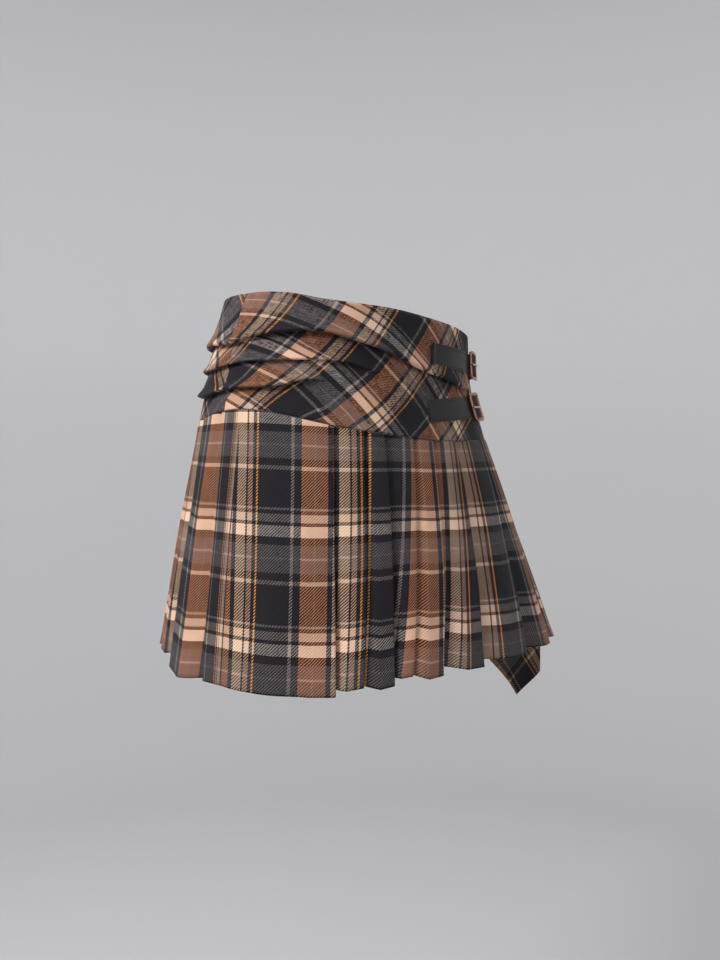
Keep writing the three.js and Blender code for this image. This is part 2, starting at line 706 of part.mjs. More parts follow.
// Bend a flat solid of strap space round the yoke
function wrapped(blank, strap) {
  const geometry = blank.clone();
  const position = geometry.attributes.position;
  for (let i = 0; i < position.count; i += 1) {
    const t = angleAfter(strap.to.t, position.getX(i));
    const z = strapHeight(strap, t) + position.getY(i);
    const waist = edgeHeight(WAIST_EDGE, t);
    const v = (waist - z) / (waist - edgeHeight(YOKE_SEAM, t));
    const out = tuckHeightUnder(strap, t) + position.getZ(i);
    const point = onSection(yokeSection(v), t, out, z);
    position.setXYZ(i, point.x, point.y, point.z);
  }
  return outwards(geometry);
}

function angleAfter(start, distance) {
  const section = yokeSection(0.5);
  const step = distance / BEND_STEPS;
  let t = start;
  for (let i = 0; i < BEND_STEPS; i += 1) t += step / arcPerDegree(section, t);
  return t;
}

function outwards(geometry) {
  const position = geometry.attributes.position;
  const points = [];
  for (let i = 0; i < position.count; i += 1) {
    points.push(new THREE.Vector3().fromBufferAttribute(position, i));
  }
  const index = geometry.index.array;
  const triangles = [];
  for (let i = 0; i < index.length; i += 3) triangles.push([index[i], index[i + 1], index[i + 2]]);
  return closedGeometry(points, triangles);
}

function piece(name, geometry, finish) {
  const mesh = new THREE.Mesh(geometry, new THREE.MeshStandardMaterial(finish));
  mesh.name = name;
  return mesh;
}

const skirt = new THREE.Group();
skirt.add(piece("yoke_front", yoke(-180, 0), PLAID));
skirt.add(piece("yoke_back", yoke(0, 180), PLAID));
skirt.add(piece("skirt_front", skirtPanel(frontLine), PLAID));
skirt.add(piece("skirt_back", skirtPanel(backLine), PLAID));
skirt.add(piece("side_sash", sideTail(), PLAID));
for (const strap of STRAPS) {
  skirt.add(piece(`strap_${strap.name}`, wrapped(strapBlank(strap), strap), LEATHER));
  skirt.add(piece(`chape_${strap.name}`, wrapped(chapeBlank(), strap), LEATHER));
  skirt.add(piece(`buckle_${strap.name}`, wrapped(buckleBlank(), strap), COPPER));
  skirt.add(piece(`prong_${strap.name}`, wrapped(prongBlank(), strap), SILVER));
}

export default skirt;
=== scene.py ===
"""A plaid pleated mini skirt in its worn shape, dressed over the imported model.

Lengths are millimetres and angles degrees unless a name says otherwise. The frame is the
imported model's: +Z up, the origin in the middle of the waist opening, -Y the wearer's front
and +X the wearer's left side. Around the body, angle -90 is the centre front, 0 the left
side, 90 the centre back and 180 (or -180) the right side.
"""

from __future__ import annotations

import logging
import math
from dataclasses import dataclass, field
from enum import Enum

import bpy
import numpy as np
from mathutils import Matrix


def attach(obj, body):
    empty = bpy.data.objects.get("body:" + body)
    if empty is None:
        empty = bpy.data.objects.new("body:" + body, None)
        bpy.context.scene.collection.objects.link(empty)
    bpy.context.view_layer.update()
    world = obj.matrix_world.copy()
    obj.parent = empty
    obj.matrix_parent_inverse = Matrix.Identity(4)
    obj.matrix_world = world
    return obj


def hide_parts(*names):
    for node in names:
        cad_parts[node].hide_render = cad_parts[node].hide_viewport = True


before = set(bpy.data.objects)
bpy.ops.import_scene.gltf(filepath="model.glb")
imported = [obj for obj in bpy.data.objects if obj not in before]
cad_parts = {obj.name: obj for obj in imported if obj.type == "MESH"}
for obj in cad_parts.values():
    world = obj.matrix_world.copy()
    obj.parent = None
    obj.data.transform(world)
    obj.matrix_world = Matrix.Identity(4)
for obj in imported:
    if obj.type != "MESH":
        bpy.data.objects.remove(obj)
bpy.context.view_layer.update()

LOG = logging.getLogger("skirt")
MM = 0.001
DECIMETRE = 100.0
Table = tuple[tuple[float, ...], ...]


class Facing(Enum):
    """The way a pleat's fold edge points round the body."""

    ONWARD = 1
    BACK = -1


class Side(Enum):
    """The half of the skirt, split at the side seams."""

    FRONT = "front"
    BACK = "back"


class Hold(Enum):
    """How a sheet is held up."""

    STRETCHED = "stretched"
    HUNG = "hung"


def ease(f: np.ndarray) -> np.ndarray:
    """Smooth step 3f^2 - 2f^3 of a share held between 0 and 1."""
    f = np.clip(f, 0.0, 1.0)
    return f * f * (3.0 - 2.0 * f)


def mix(a: np.ndarray, b: np.ndarray, f: np.ndarray) -> np.ndarray:
    """Value a share f of the way from a to b."""
    return a + (b - a) * f


def smooth_table(places: np.ndarray, values: np.ndarray, x: np.ndarray) -> np.ndarray:
    """Smooth curve through a short table.

    Between two rows the value is their eased mix plus width * f(1-f) * (slope_a (1-f) -
    slope_b f), where f is the share of the way and each slope is taken over its neighbours.

    Args:
        places: Rising places of the rows.
        values: Value of each row.
        x: Places to read, any shape.

    Returns:
        The values at x, held at the first and last row outside them.
    """
    places, values = np.asarray(places, float), np.asarray(values, float)
    slopes = np.empty_like(values)
    slopes[1:-1] = (values[2:] - values[:-2]) / (places[2:] - places[:-2])
    slopes[0] = (values[1] - values[0]) / (places[1] - places[0])
    slopes[-1] = (values[-1] - values[-2]) / (places[-1] - places[-2])
    x = np.clip(x, places[0], places[-1])
    i = np.clip(np.searchsorted(places, x, side="right") - 1, 0, len(places) - 2)
    width = places[i + 1] - places[i]
    f = (x - places[i]) / width
    line = mix(values[i], values[i + 1], ease(f))
    return line + width * f * (1 - f) * (slopes[i] * (1 - f) - slopes[i + 1] * f)


def refine_rows(grid: np.ndarray, steps: int) -> np.ndarray:
    """Add rows to a grid with a smooth curve down each column that never overshoots.

    The slope at a row is the harmonic mean of the steps beside it, or 0 where they turn.
    Between rows a and b the point is a + (b - a) (3f^2 - 2f^3) + p (f - 2f^2 + f^3) +
    q (f^3 - f^2), where p and q are the slopes at a and b.

    Args:
        grid: Array of rows, columns and values.
        steps: New rows for each old gap.

    Returns:
        The finer grid, whose first and last rows are the old ones.
    """
    step = np.diff(grid, axis=0)
    product, total = step[:-1] * step[1:], step[:-1] + step[1:]
    turning = product <= 0
    inner = np.where(turning, 0.0, 2 * product / np.where(turning, 1.0, total))
    slope = np.concatenate([step[:1], inner, step[-1:]])
    f = (np.arange(steps) / steps).reshape((1, steps) + (1,) * (grid.ndim - 1))
    a, b, p, q = (x[:, None] for x in (grid[:-1], grid[1:], slope[:-1], slope[1:]))
    fine = a + (b - a) * ease(f) + p * (f - 2 * f**2 + f**3) + q * (f**3 - f**2)
    return np.concatenate([fine.reshape((-1,) + grid.shape[1:]), grid[-1:]])


@dataclass(frozen=True)
class Section:
    """Plan ellipse of the body: half sizes and its shift along the lean of the hips."""

    half_width: np.ndarray
    half_depth: np.ndarray
    sway: np.ndarray

    def arc_per_degree(self, t: np.ndarray) -> np.ndarray:
        """Arc length of one degree at angle t, from the ellipse's own speed."""
        t = np.radians(t)
        return np.radians(np.hypot(self.half_width * np.sin(t), self.half_depth * np.cos(t)))

    def point(self, t: np.ndarray, out: np.ndarray, z: np.ndarray) -> np.ndarray:
        """Point at angle t, moved out along the ellipse's normal, at height z.

        Args:
            t: Angles in degrees.
            out: Distance outwards from the ellipse.
            z: Heights.

        Returns:
            Array of points, one row of three for each angle.
        """
        c, s = np.cos(np.radians(t)), np.sin(np.radians(t))
        normal_x, normal_y = c / self.half_width, s / self.half_depth
        size = np.hypot(normal_x, normal_y)
        x = self.half_width * c + self.sway * BodyForm.LEAN[0] + out * normal_x / size
        y = self.half_depth * s + self.sway * BodyForm.LEAN[1] + out * normal_y / size
        return np.stack(np.broadcast_arrays(x, y, z), axis=-1)


@dataclass(frozen=True)
class EdgeLine:
    """Height of an edge round the body, as pairs of angle and height."""

    pairs: Table

    def height(self, t: np.ndarray) -> np.ndarray:
        """Smooth curve through the pairs at t, once t is turned into -180 to 180."""
        places, heights = zip(*self.pairs)
        return smooth_table(places, heights, t - 360 * np.round(np.asarray(t) / 360))


class BodyForm:
    """The worn form that every piece is set on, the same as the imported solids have."""

    LEAN = (0.669, -0.743)
    YOKE_V = (0.0, 0.5, 1.0)
    YOKE_WIDTH = (133.9, 143.5, 155.2)
    YOKE_DEPTH = (95.6, 100.4, 113.7)
    YOKE_SWAY = (1.8, -2.0, -0.5)
    SEAM = (156.2, 114.7, -0.5)
    HEM = (206.7, 166.0, 15.0)
    SEAM_GAP = 0.85
    YOKE_DROP = 106.0
    YOKE_ARC = 2.4
    waist = EdgeLine((
        (-192, 11.8), (-180, 11.9), (-168, 11.9), (-155, 10.4), (-140, 5.5), (-125, 2.6),
        (-110, 0.3), (-90, -4.6), (-72, -8), (-55, -11.3), (-25, -12.5), (0, -11.5),
        (30, -7.7), (60, -1.9), (90, 4), (120, 8.5), (150, 11), (168, 11.8),
        (180, 11.9), (192, 11.9)))
    seam = EdgeLine((
        (-188, -90.6), (-180, -87.9), (-170, -86.8), (-160, -89), (-145, -95.4), (-130, -102.7),
        (-115, -107.6), (-100, -112.2), (-85, -112.9), (-70, -111.8), (-57, -111.5), (-30, -110.5),
        (0, -107), (30, -103), (60, -99), (90, -96), (120, -94.5), (145, -95.5),
        (156, -94.8), (164, -92.9), (172, -90.6), (180, -87.9), (190, -86.8)))
    hem = EdgeLine((
        (-188, -300.2), (-178, -305.6), (-169, -308), (-161, -309), (-150, -309), (-139, -308.8),
        (-124, -301.1), (-111, -295.7), (-98, -295.4), (-79, -294.6), (-62, -296), (-30, -301),
        (0, -303), (30, -304), (60, -303), (90, -300), (120, -296), (140, -292),
        (156, -288.6), (164, -293.5), (172, -300.2), (182, -305.6)))

    @classmethod
    def yoke_section(cls, v: np.ndarray) -> Section:
        """Section of the yoke a share v of the way from the waist edge to the seam."""
        return Section(*(smooth_table(cls.YOKE_V, column, v)
                         for column in (cls.YOKE_WIDTH, cls.YOKE_DEPTH, cls.YOKE_SWAY)))

    @classmethod
    def skirt_section(cls, s: np.ndarray) -> Section:
        """Section of the skirt a share s of the way from the seam to the hem."""
        return Section(*(mix(seam, hem, s) for seam, hem in zip(cls.SEAM, cls.HEM)))

    @classmethod
    def yoke_point(cls, t: np.ndarray, v: np.ndarray, out: np.ndarray) -> np.ndarray:
        """Point of the yoke at an angle, a share down it and a distance out."""
        z = mix(cls.waist.height(t), cls.seam.height(t), v)
        return cls.yoke_section(v).point(t, out, z)

    @classmethod
    def skirt_top(cls, t: np.ndarray) -> np.ndarray:
        """Height of the skirt's top edge, a seam's gap under the yoke."""
        return cls.seam.height(t) - cls.SEAM_GAP


def put_mesh(name: str, points: np.ndarray, faces: np.ndarray,
             uv: np.ndarray | None = None) -> bpy.types.Object:
    """Make a mesh object at the origin from millimetre points.

    Args:
        name: Name of the piece.
        points: Array of points in millimetres.
        faces: Array of faces, all with the same number of corners.
        uv: Cloth place of each point in millimetres, if the finish follows the cloth.

    Returns:
        The new object, linked to the scene and smooth shaded.
    """
    mesh = bpy.data.meshes.new(name)
    points = points.reshape(-1, 3) * MM
    corners = faces.shape[1]
    mesh.vertices.add(len(points))
    mesh.vertices.foreach_set("co", points.astype(np.float32).ravel())
    mesh.loops.add(faces.size)
    mesh.loops.foreach_set("vertex_index", faces.astype(np.int32).ravel())
    mesh.polygons.add(len(faces))
    mesh.polygons.foreach_set("loop_start", np.arange(0, faces.size, corners, dtype=np.int32))
    mesh.polygons.foreach_set("use_smooth", np.ones(len(faces), dtype=bool))
    mesh.update(calc_edges=True)
    if uv is not None:
        layer = mesh.uv_layers.new(name="cloth")
        flat = (uv.reshape(-1, 2) * MM).astype(np.float32)
        layer.data.foreach_set("uv", flat[faces.ravel()].ravel())
    mesh.validate()
    piece = bpy.data.objects.new(name, mesh)
    bpy.context.scene.collection.objects.link(piece)
    return piece


def grid_faces(rows: int, columns: int, wrap_rows: bool = False,
               wrap_columns: bool = False) -> np.ndarray:
    """Four-cornered faces of a grid whose rows run down and columns run along.

    Args:
        rows: Number of rows of points.
        columns: Number of columns of points.
        wrap_rows: Whether the last row joins the first.
        wrap_columns: Whether the last column joins the first.

    Returns:
        Array of faces, each with the corners of one grid square.
    """
    r = np.arange(rows if wrap_rows else rows - 1)[:, None]
    c = np.arange(columns if wrap_columns else columns - 1)[None, :]
    r2, c2 = (r + 1) % rows, (c + 1) % columns
    corners = [r * columns + c, r2 * columns + c, r2 * columns + c2, r * columns + c2]
    return np.stack(np.broadcast_arrays(*corners), axis=-1).reshape(-1, 4)


def cloth_sheet(name: str, points: np.ndarray, uv: np.ndarray, thickness: float,
                offset: float) -> bpy.types.Object:
    """Sheet of cloth from a grid, with a wall from a Solidify modifier.

    Args:
        name: Name of the piece.
        points: Grid of points, rows from top to bottom.
        uv: Cloth place of each point.
        thickness: Thickness of the cloth in millimetres.
        offset: Where the wall lies: -1 inside the grid, 0 about it.

    Returns:
        The sheet's object, with its slot 0 for the face and slot 1 for the inside.
    """
    piece = put_mesh(name, points, grid_faces(*points.shape[:2]), uv)
    wall = piece.modifiers.new("wall", "SOLIDIFY")
    wall.thickness = thickness * MM
    wall.offset = offset
    wall.use_even_offset = False
    wall.thickness_clamp = 0.0
    wall.material_offset = 1
    wall.material_offset_rim = 0
    return piece


def put_triangles(name: str, points: np.ndarray, quads: np.ndarray,
                  extra: np.ndarray) -> bpy.types.Object:
    """Mesh object from squares and triangles, its faces turned outwards.

    Args:
        name: Name of the piece.
        points: Array of points in millimetres.
        quads: Four-cornered faces.
        extra: Further three-cornered faces.

    Returns:
        The new object.
    """
    halves = np.concatenate([quads[:, [0, 1, 2]], quads[:, [0, 2, 3]], extra])
    a, b, c = (points[halves[:, i]] for i in range(3))
    if np.einsum("ij,ij->", a, np.cross(b, c)) < 0:
        halves = halves[:, ::-1]
    return put_mesh(name, points, halves)


def capped_sweep(name: str, points: np.ndarray) -> bpy.types.Object:
    """Solid from a row of closed rings, each end closed by a fan about its middle.

    Args:
        name: Name of the piece.
        points: Grid of points, one row for each ring.

    Returns:
        The new object.
    """
    rings, sides = points.shape[:2]
    middles = np.stack([points[0].mean(axis=0), points[-1].mean(axis=0)])
    here = np.arange(sides)
    following = (here + 1) % sides
    last_ring = (rings - 1) * sides
    first_middle = np.full(sides, rings * sides)
    ends = np.concatenate([
        np.stack([first_middle, following, here], axis=-1),
        np.stack([last_ring + here, last_ring + following, first_middle + 1], axis=-1)])
    flat = np.concatenate([points.reshape(-1, 3), middles])
    return put_triangles(name, flat, grid_faces(rings, sides, wrap_columns=True), ends)


def unit_steps(path: np.ndarray) -> np.ndarray:
    """Unit directions along an open path, each taken over the points beside it."""
    step = np.gradient(path, axis=0)
    return step / np.linalg.norm(step, axis=1, keepdims=True)


def superellipse(half_x: float, half_y: float, power: float, sides: int) -> np.ndarray:
    """Rounded rectangle ring: each coordinate is half * sign(w) |w|^(2/power).

    Args:
        half_x: Half the width.
        half_y: Half the height.
        power: 2 for an ellipse, more for squarer corners.
        sides: Number of points round the ring.

    Returns:
        Ring of points.
    """
    a = np.arange(sides) * 2 * np.pi / sides
    c, s = np.cos(a), np.sin(a)
    x = half_x * np.sign(c) * np.abs(c) ** (2 / power)
    y = half_y * np.sign(s) * np.abs(s) ** (2 / power)
    return np.stack([x, y], axis=-1)


def srgb(r: int, g: int, b: int) -> tuple[float, float, float, float]:
    """Linear colour from display values, by the standard curve of display colours.

    Args:
        r: Red from 0 to 255.
        g: Green from 0 to 255.
        b: Blue from 0 to 255.

    Returns:
        Red, green and blue as linear light, and full cover.
    """
    shares = [value / 255 for value in (r, g, b)]
    red, green, blue = (c / 12.92 if c <= 0.04045 else ((c + 0.055) / 1.055) ** 2.4 for c in shares)
    return red, green, blue, 1.0


@dataclass(frozen=True)
class Stripe:
    """One stripe of a plaid: its width, the thread's colour and how it lights a crossing."""

    width: float
    colour: tuple[float, float, float, float]
    glow: float = 0.0


BLACK = srgb(29, 27, 31)
BROWN = srgb(139, 90, 62)
CREAM = srgb(149, 124, 100)
PINK = srgb(138, 107, 89)
ORANGE = srgb(184, 120, 50)
GREY_THREAD = srgb(100, 93, 91)
MID_GREY = srgb(84, 79, 79)
BAND = srgb(133, 124, 118)
SMALL_BAND = srgb(100, 92, 89)

WARP = (
    Stripe(8.3, CREAM, 0.94), Stripe(1.7, BLACK), Stripe(4.2, PINK, 0.85), Stripe(3.3, BLACK),
    Stripe(1.3, ORANGE, 0.5), Stripe(27.4, BLACK), Stripe(2.5, GREY_THREAD, 0.4),
    Stripe(5.8, BLACK), Stripe(10.2, BROWN, 0.82), Stripe(1.2, PINK, 0.8),
    Stripe(10.2, BROWN, 0.82), Stripe(4.1, BLACK),
)
WEFT = (
    Stripe(8.7, BAND, 1.0), Stripe(6.3, BLACK), Stripe(9.9, MID_GREY), Stripe(1.6, GREY_THREAD, 0.3),
    Stripe(10.3, MID_GREY), Stripe(6.3, BLACK), Stripe(3.0, SMALL_BAND, 0.6),
    Stripe(30.8, BLACK), Stripe(1.6, GREY_THREAD, 0.3), Stripe(3.2, BLACK),
    Stripe(6.3, SMALL_BAND, 0.7), Stripe(3.2, BLACK),
)


class NodeTree:
    """Small helper that adds and joins shader nodes."""

    def __init__(self, tree: bpy.types.NodeTree) -> None:
        """Keep the tree that nodes are added to."""
        self.tree = tree

    def add(self, kind: str, **values: object) -> bpy.types.Node:
        """Add a node and set its own settings.

        Args:
            kind: Node type name.
            **values: Settings of the node by name.

        Returns:
            The new node.
        """
        node = self.tree.nodes.new(kind)
        for name, value in values.items():
            setattr(node, name, value)
        return node

    def join(self, source: object, target: object) -> None:
        """Link one socket to another."""
        self.tree.links.new(source, target)

    def math(self, operation: str, a: object, b: object = 0.0, c: object = 0.0) -> object:
        """Add a Math node on sockets or numbers.

        Args:
            operation: Name of the operation.
            a: First socket or number.
            b: Second socket or number.
            c: Third socket or number.

        Returns:
            The node's output socket.
        """
        node = self.add("ShaderNodeMath", operation=operation)
        for index, value in enumerate((a, b, c)):
            if isinstance(value, (int, float)):
                node.inputs[index].default_value = value
            else:
                self.join(value, node.inputs[index])
        return node.outputs[0]

    def blend(self, mode: str, factor: object, a: object, b: object) -> object:
        """Add a colour Mix node on sockets or colours.

        Args:
            mode: Blend mode.
            factor: Socket or number for the share.
            a: First colour or socket.
            b: Second colour or socket.

        Returns:
            The node's colour output.
        """
        node = self.add("ShaderNodeMix", data_type="RGBA", blend_type=mode)
        for socket, value in ((node.inputs[0], factor), (node.inputs[6], a), (node.inputs[7], b)):
            if isinstance(value, (int, float, tuple)):
                socket.default_value = value
            else:
                self.join(value, socket)
        return node.outputs[2]

    def noise(self, vector: object, scale: float, detail: float = 2.0) -> object:
        """Add a Noise Texture and return its value.

        Args:
            vector: Socket with the place.
            scale: Scale of the noise.
            detail: Octaves of the noise.

        Returns:
            The noise value's socket.
        """
        node = self.add("ShaderNodeTexNoise")
        node.inputs["Scale"].default_value = scale
        node.inputs["Detail"].default_value = detail
        self.join(vector, node.inputs["Vector"])
        return node.outputs[0]

    def bump(self, height: object, distance: float, strength: float,
             shader: bpy.types.Node) -> None:
        """Tilt a shader's normals by a height.

        Args:
            height: Socket with the height.
            distance: Metres that a height of 1 stands for.
            strength: Share of the effect.
            shader: The shader node.
        """
        node = self.add("ShaderNodeBump")
        node.inputs["Distance"].default_value = distance
        node.inputs["Strength"].default_value = strength
        self.join(height, node.inputs["Height"])
        self.join(node.outputs[0], shader.inputs["Normal"])


class ShaderGroup:
    """A shader node group that is built once and then shared."""

    NAME = ""

    @classmethod
    def get(cls) -> bpy.types.NodeTree:
        """The group, built on first use."""
        return bpy.data.node_groups.get(cls.NAME) or cls.build()

    @classmethod
    def start(cls, inputs: dict[str, str], outputs: dict[str, str]) -> tuple[
            bpy.types.NodeTree, NodeTree, bpy.types.Node, bpy.types.Node]:
        """Empty group with its sockets.

        Args:
            inputs: Kind of each input socket by name.
            outputs: Kind of each output socket by name.

        Returns:
            The group, its tree helper, its input node and its output node.
        """
        group = bpy.data.node_groups.new(cls.NAME, "ShaderNodeTree")
        for way, sockets in (("INPUT", inputs), ("OUTPUT", outputs)):
            for name, kind in sockets.items():
                group.interface.new_socket(name, in_out=way, socket_type=f"NodeSocket{kind}")
        t = NodeTree(group)
        return group, t, t.add("NodeGroupInput"), t.add("NodeGroupOutput")


class WeaveGroup(ShaderGroup):
    """Shader group for a twill plaid: colour and thread height from the cloth's own place."""

    NAME = "twill plaid"
    TWILL_PITCH = 1.8
    YARN_PITCH = 0.7
    # Each pair is a factor and what is added after it.
    WAVE_OVER = (1.6, 0.5)
    FADE_TONE = (0.3, 0.85)
    SLUB_TONE = (0.34, 0.83)
    # Painted shade in the twill's grooves and painted light on its ridges, from the wave that also makes
    # the bump.
    TWILL_SHADE_TONE = (0.22, 1.0)
    STREAK_OVER = 2.6
    STREAK_SCALES = (1.5, 0.12)
    SLUB_SCALE = 0.9
    FADE_SCALE = 0.03
    CLOTH_DETAIL = 3.0
    WAVE_HEIGHT = 0.5
    YARN_HEIGHT = 0.2
    GLOW = (0.396, 0.259, 0.176, 1.0)
    NO_GLOW = (0.0, 0.0, 0.0, 1.0)
    NEW_RAMP_STOPS = 2

    @classmethod
    def build(cls) -> bpy.types.NodeTree:
        """Build the group.

        Warp and weft stripes come from two colour ramps over the cloth's two directions. A
        diagonal wave decides which thread lies on top, and light threads that cross add glow.

        Returns:
            The finished node group.
        """
        group, t, inside, outside = cls.start({"Vector": "Vector", "Twill": "Float"},
                                              {"Color": "Color", "Height": "Float"})
        split = t.add("ShaderNodeSeparateXYZ")
        t.join(inside.outputs["Vector"], split.inputs[0])
        x, y = (t.math("MULTIPLY", socket, 1 / MM) for socket in split.outputs[:2])
        warp, warp_glow = cls.stripes(t, x, WARP)
        weft, weft_glow = cls.stripes(t, y, WEFT)
        per_length = 2 * math.pi / (cls.TWILL_PITCH * math.sqrt(2))
        diagonal = t.math("MULTIPLY", t.math("ADD", x, y), per_length)
        wave = t.math("MULTIPLY", t.math("SINE", diagonal), inside.outputs["Twill"])
        fine, drawn_out = cls.STREAK_SCALES
        streak = t.math("SUBTRACT", cls.streaks(t, x, y, fine, drawn_out),
                        cls.streaks(t, x, y, drawn_out, fine))
        over = t.math("ADD", t.math("MULTIPLY_ADD", wave, *cls.WAVE_OVER),
                      t.math("MULTIPLY", streak, cls.STREAK_OVER))
        over.node.use_clamp = True
        glow = t.math("MULTIPLY", warp_glow, weft_glow)
        lit = t.blend("ADD", 1.0, t.blend("MIX", over, weft, warp),
                      t.blend("MIX", glow, cls.NO_GLOW, cls.GLOW))
        place = cls.place(t, x, y)
        fade = t.noise(place, cls.FADE_SCALE, cls.CLOTH_DETAIL)
        slub = t.noise(place, cls.SLUB_SCALE, cls.CLOTH_DETAIL)
        shade = t.math("MULTIPLY_ADD", fade, *cls.FADE_TONE)
        grain = t.math("MULTIPLY_ADD", slub, *cls.SLUB_TONE)
        # Painted shade and light: the colour is darkened in the twill's grooves and lightened on its
        # ridges.
        twill_shade = t.math("MULTIPLY_ADD", wave, *cls.TWILL_SHADE_TONE)
        toned = t.add("ShaderNodeVectorMath", operation="SCALE")
        t.join(lit, toned.inputs[0])
        t.join(t.math("MULTIPLY", t.math("MULTIPLY", shade, grain), twill_shade), toned.inputs["Scale"])
        t.join(toned.outputs[0], outside.inputs["Color"])
        yarn = t.math("SINE", t.math("MULTIPLY", x, 2 * math.pi / cls.YARN_PITCH))
        height = t.math("ADD", t.math("MULTIPLY", wave, cls.WAVE_HEIGHT),
                        t.math("MULTIPLY", yarn, cls.YARN_HEIGHT))
        t.join(height, outside.inputs["Height"])
        return group

    @staticmethod
    def place(t: NodeTree, x: object, y: object) -> object:
        """Join the warp place and the weft place into one vector.

        Args:
            t: Tree to add to.
            x: Socket with the warp place.
            y: Socket with the weft place.

        Returns:
            The vector's socket.
        """
        node = t.add("ShaderNodeCombineXYZ")
        t.join(x, node.inputs[0])
        t.join(y, node.inputs[1])
        return node.outputs[0]

    @classmethod
    def streaks(cls, t: NodeTree, x: object, y: object, across: float, along: float) -> object:
        """Noise drawn out along one set of threads.

        Args:
            t: Tree to add to.
            x: Socket with the warp place.
            y: Socket with the weft place.
            across: Scale of the noise over the warp place.
            along: Scale of the noise over the weft place.

        Returns:
            The noise value's socket.
        """
        place = cls.place(t, t.math("MULTIPLY", x, across), t.math("MULTIPLY", y, along))
        return t.noise(place, 1.0, 1.0)

    @classmethod
    def stripes(cls, t: NodeTree, place: object, sett: tuple[Stripe, ...]) -> tuple[object, object]:
        """Colour and glow of repeating stripes.

        Args:
            t: Tree to add to.
            place: Socket with the place across the stripes, in millimetres.
            sett: Stripes in order.

        Returns:
            The colour socket and the glow socket.
        """
        repeat = sum(stripe.width for stripe in sett)
        share = t.math("FRACT", t.math("DIVIDE", place, repeat))
        ramp = t.add("ShaderNodeValToRGB")
        ramp.color_ramp.interpolation = "CONSTANT"
        stops = ramp.color_ramp.elements
        start = 0.0
        for index, stripe in enumerate(sett):
            stop = stops[index] if index < cls.NEW_RAMP_STOPS else stops.new(start / repeat)
            stop.position = start / repeat
            stop.color = (*stripe.colour[:3], stripe.glow)
            start += stripe.width
        t.join(share, ramp.inputs[0])
        return ramp.outputs[0], ramp.outputs[1]


class GrainGroup(ShaderGroup):
    """Shader group for fine leather or metal grain over the piece's own place."""

    NAME = "fine grain"
    WEAR_SCALE = 0.12
    WEAR_DETAIL = 5.0

    @classmethod
    def build(cls) -> bpy.types.NodeTree:
        """Build the group: pebbles from a cell pattern, and slow cloudy wear from noise.

        Returns:
            The finished node group.
        """
        group, t, inside, outside = cls.start({"Vector": "Vector", "Scale": "Float"},
                                              {"Height": "Float", "Wear": "Float"})
        cells = t.add("ShaderNodeTexVoronoi", feature="SMOOTH_F1")
        t.join(inside.outputs["Vector"], cells.inputs["Vector"])
        t.join(inside.outputs["Scale"], cells.inputs["Scale"])
        t.join(cells.outputs["Distance"], outside.inputs["Height"])
        wear = t.noise(inside.outputs["Vector"], 1.0, cls.WEAR_DETAIL)
        t.join(t.math("MULTIPLY", inside.outputs["Scale"], cls.WEAR_SCALE),
               wear.node.inputs["Scale"])
        t.join(wear, outside.inputs["Wear"])
        return group


def new_material(name: str) -> tuple[bpy.types.Material, NodeTree, bpy.types.Node]:
    """Empty material with a Principled shader.

    Args:
        name: Name of the material.

    Returns:
        The material, its tree helper and its shader node.
    """
    material = bpy.data.materials.new(name)
    material.use_nodes = True
    tree = NodeTree(material.node_tree)
    return material, tree, material.node_tree.nodes["Principled BSDF"]


@dataclass(frozen=True)
class PlaidFinish:
    """Woven plaid twill that follows the piece's cloth map."""

    name: str = "plaid twill"
    twill: float = 1.0
    roughness: float = 0.88
    sheen: float = 0.04
    specular: float = 0.12
    weave_depth: float = 0.00018
    crumple_depth: float = 0.0011
    crumple_scale: float = 55.0
    crumple_detail: float = 3.0
    bump: float = 0.8

    def material(self) -> bpy.types.Material:
        """Build the material.

        Returns:
            The new material.
        """
        material, t, shader = new_material(self.name)
        shader.inputs["Roughness"].default_value = self.roughness
        shader.inputs["Sheen Weight"].default_value = self.sheen
        shader.inputs["Specular IOR Level"].default_value = self.specular
        cloth = t.add("ShaderNodeUVMap", uv_map="cloth")
        weave = t.add("ShaderNodeGroup", node_tree=WeaveGroup.get())
        weave.inputs["Twill"].default_value = self.twill
        t.join(cloth.outputs[0], weave.inputs["Vector"])
        t.join(weave.outputs["Color"], shader.inputs["Base Color"])
        coords = t.add("ShaderNodeTexCoord")
        crumple = t.noise(coords.outputs["Object"], self.crumple_scale, self.crumple_detail)
        height = t.math("ADD", t.math("MULTIPLY", weave.outputs["Height"], self.weave_depth),
                        t.math("MULTIPLY", crumple, self.crumple_depth))
        t.bump(height, 1.0, self.bump, shader)
        return material


@dataclass(frozen=True)
class GrainFinish:
    """Leather, lining, thread or metal: a colour that wear changes in soft clouds, with a fine grain."""

    name: str
    colour: tuple[float, float, float, float]
    worn: tuple[float, float, float, float]
    roughness: tuple[float, float]
    grain_scale: float
    grain_depth: float
    metallic: float = 0.0
    specular: float = 0.5
    bump: float = 0.6

    def material(self) -> bpy.types.Material:
        """Build the material.

        Returns:
            The new material.
        """
        material, t, shader = new_material(self.name)
        shader.inputs["Metallic"].default_value = self.metallic
        shader.inputs["Specular IOR Level"].default_value = self.specular
        coords = t.add("ShaderNodeTexCoord")
        grain = t.add("ShaderNodeGroup", node_tree=GrainGroup.get())
        grain.inputs["Scale"].default_value = self.grain_scale
        t.join(coords.outputs["Object"], grain.inputs["Vector"])
        wear = grain.outputs["Wear"]
        t.join(t.blend("MIX", wear, self.colour, self.worn), shader.inputs["Base Color"])
        low, high = self.roughness
        t.join(t.math("MULTIPLY_ADD", wear, high - low, low), shader.inputs["Roughness"])
        t.bump(grain.outputs["Height"], self.grain_depth * MM, self.bump, shader)
        return material


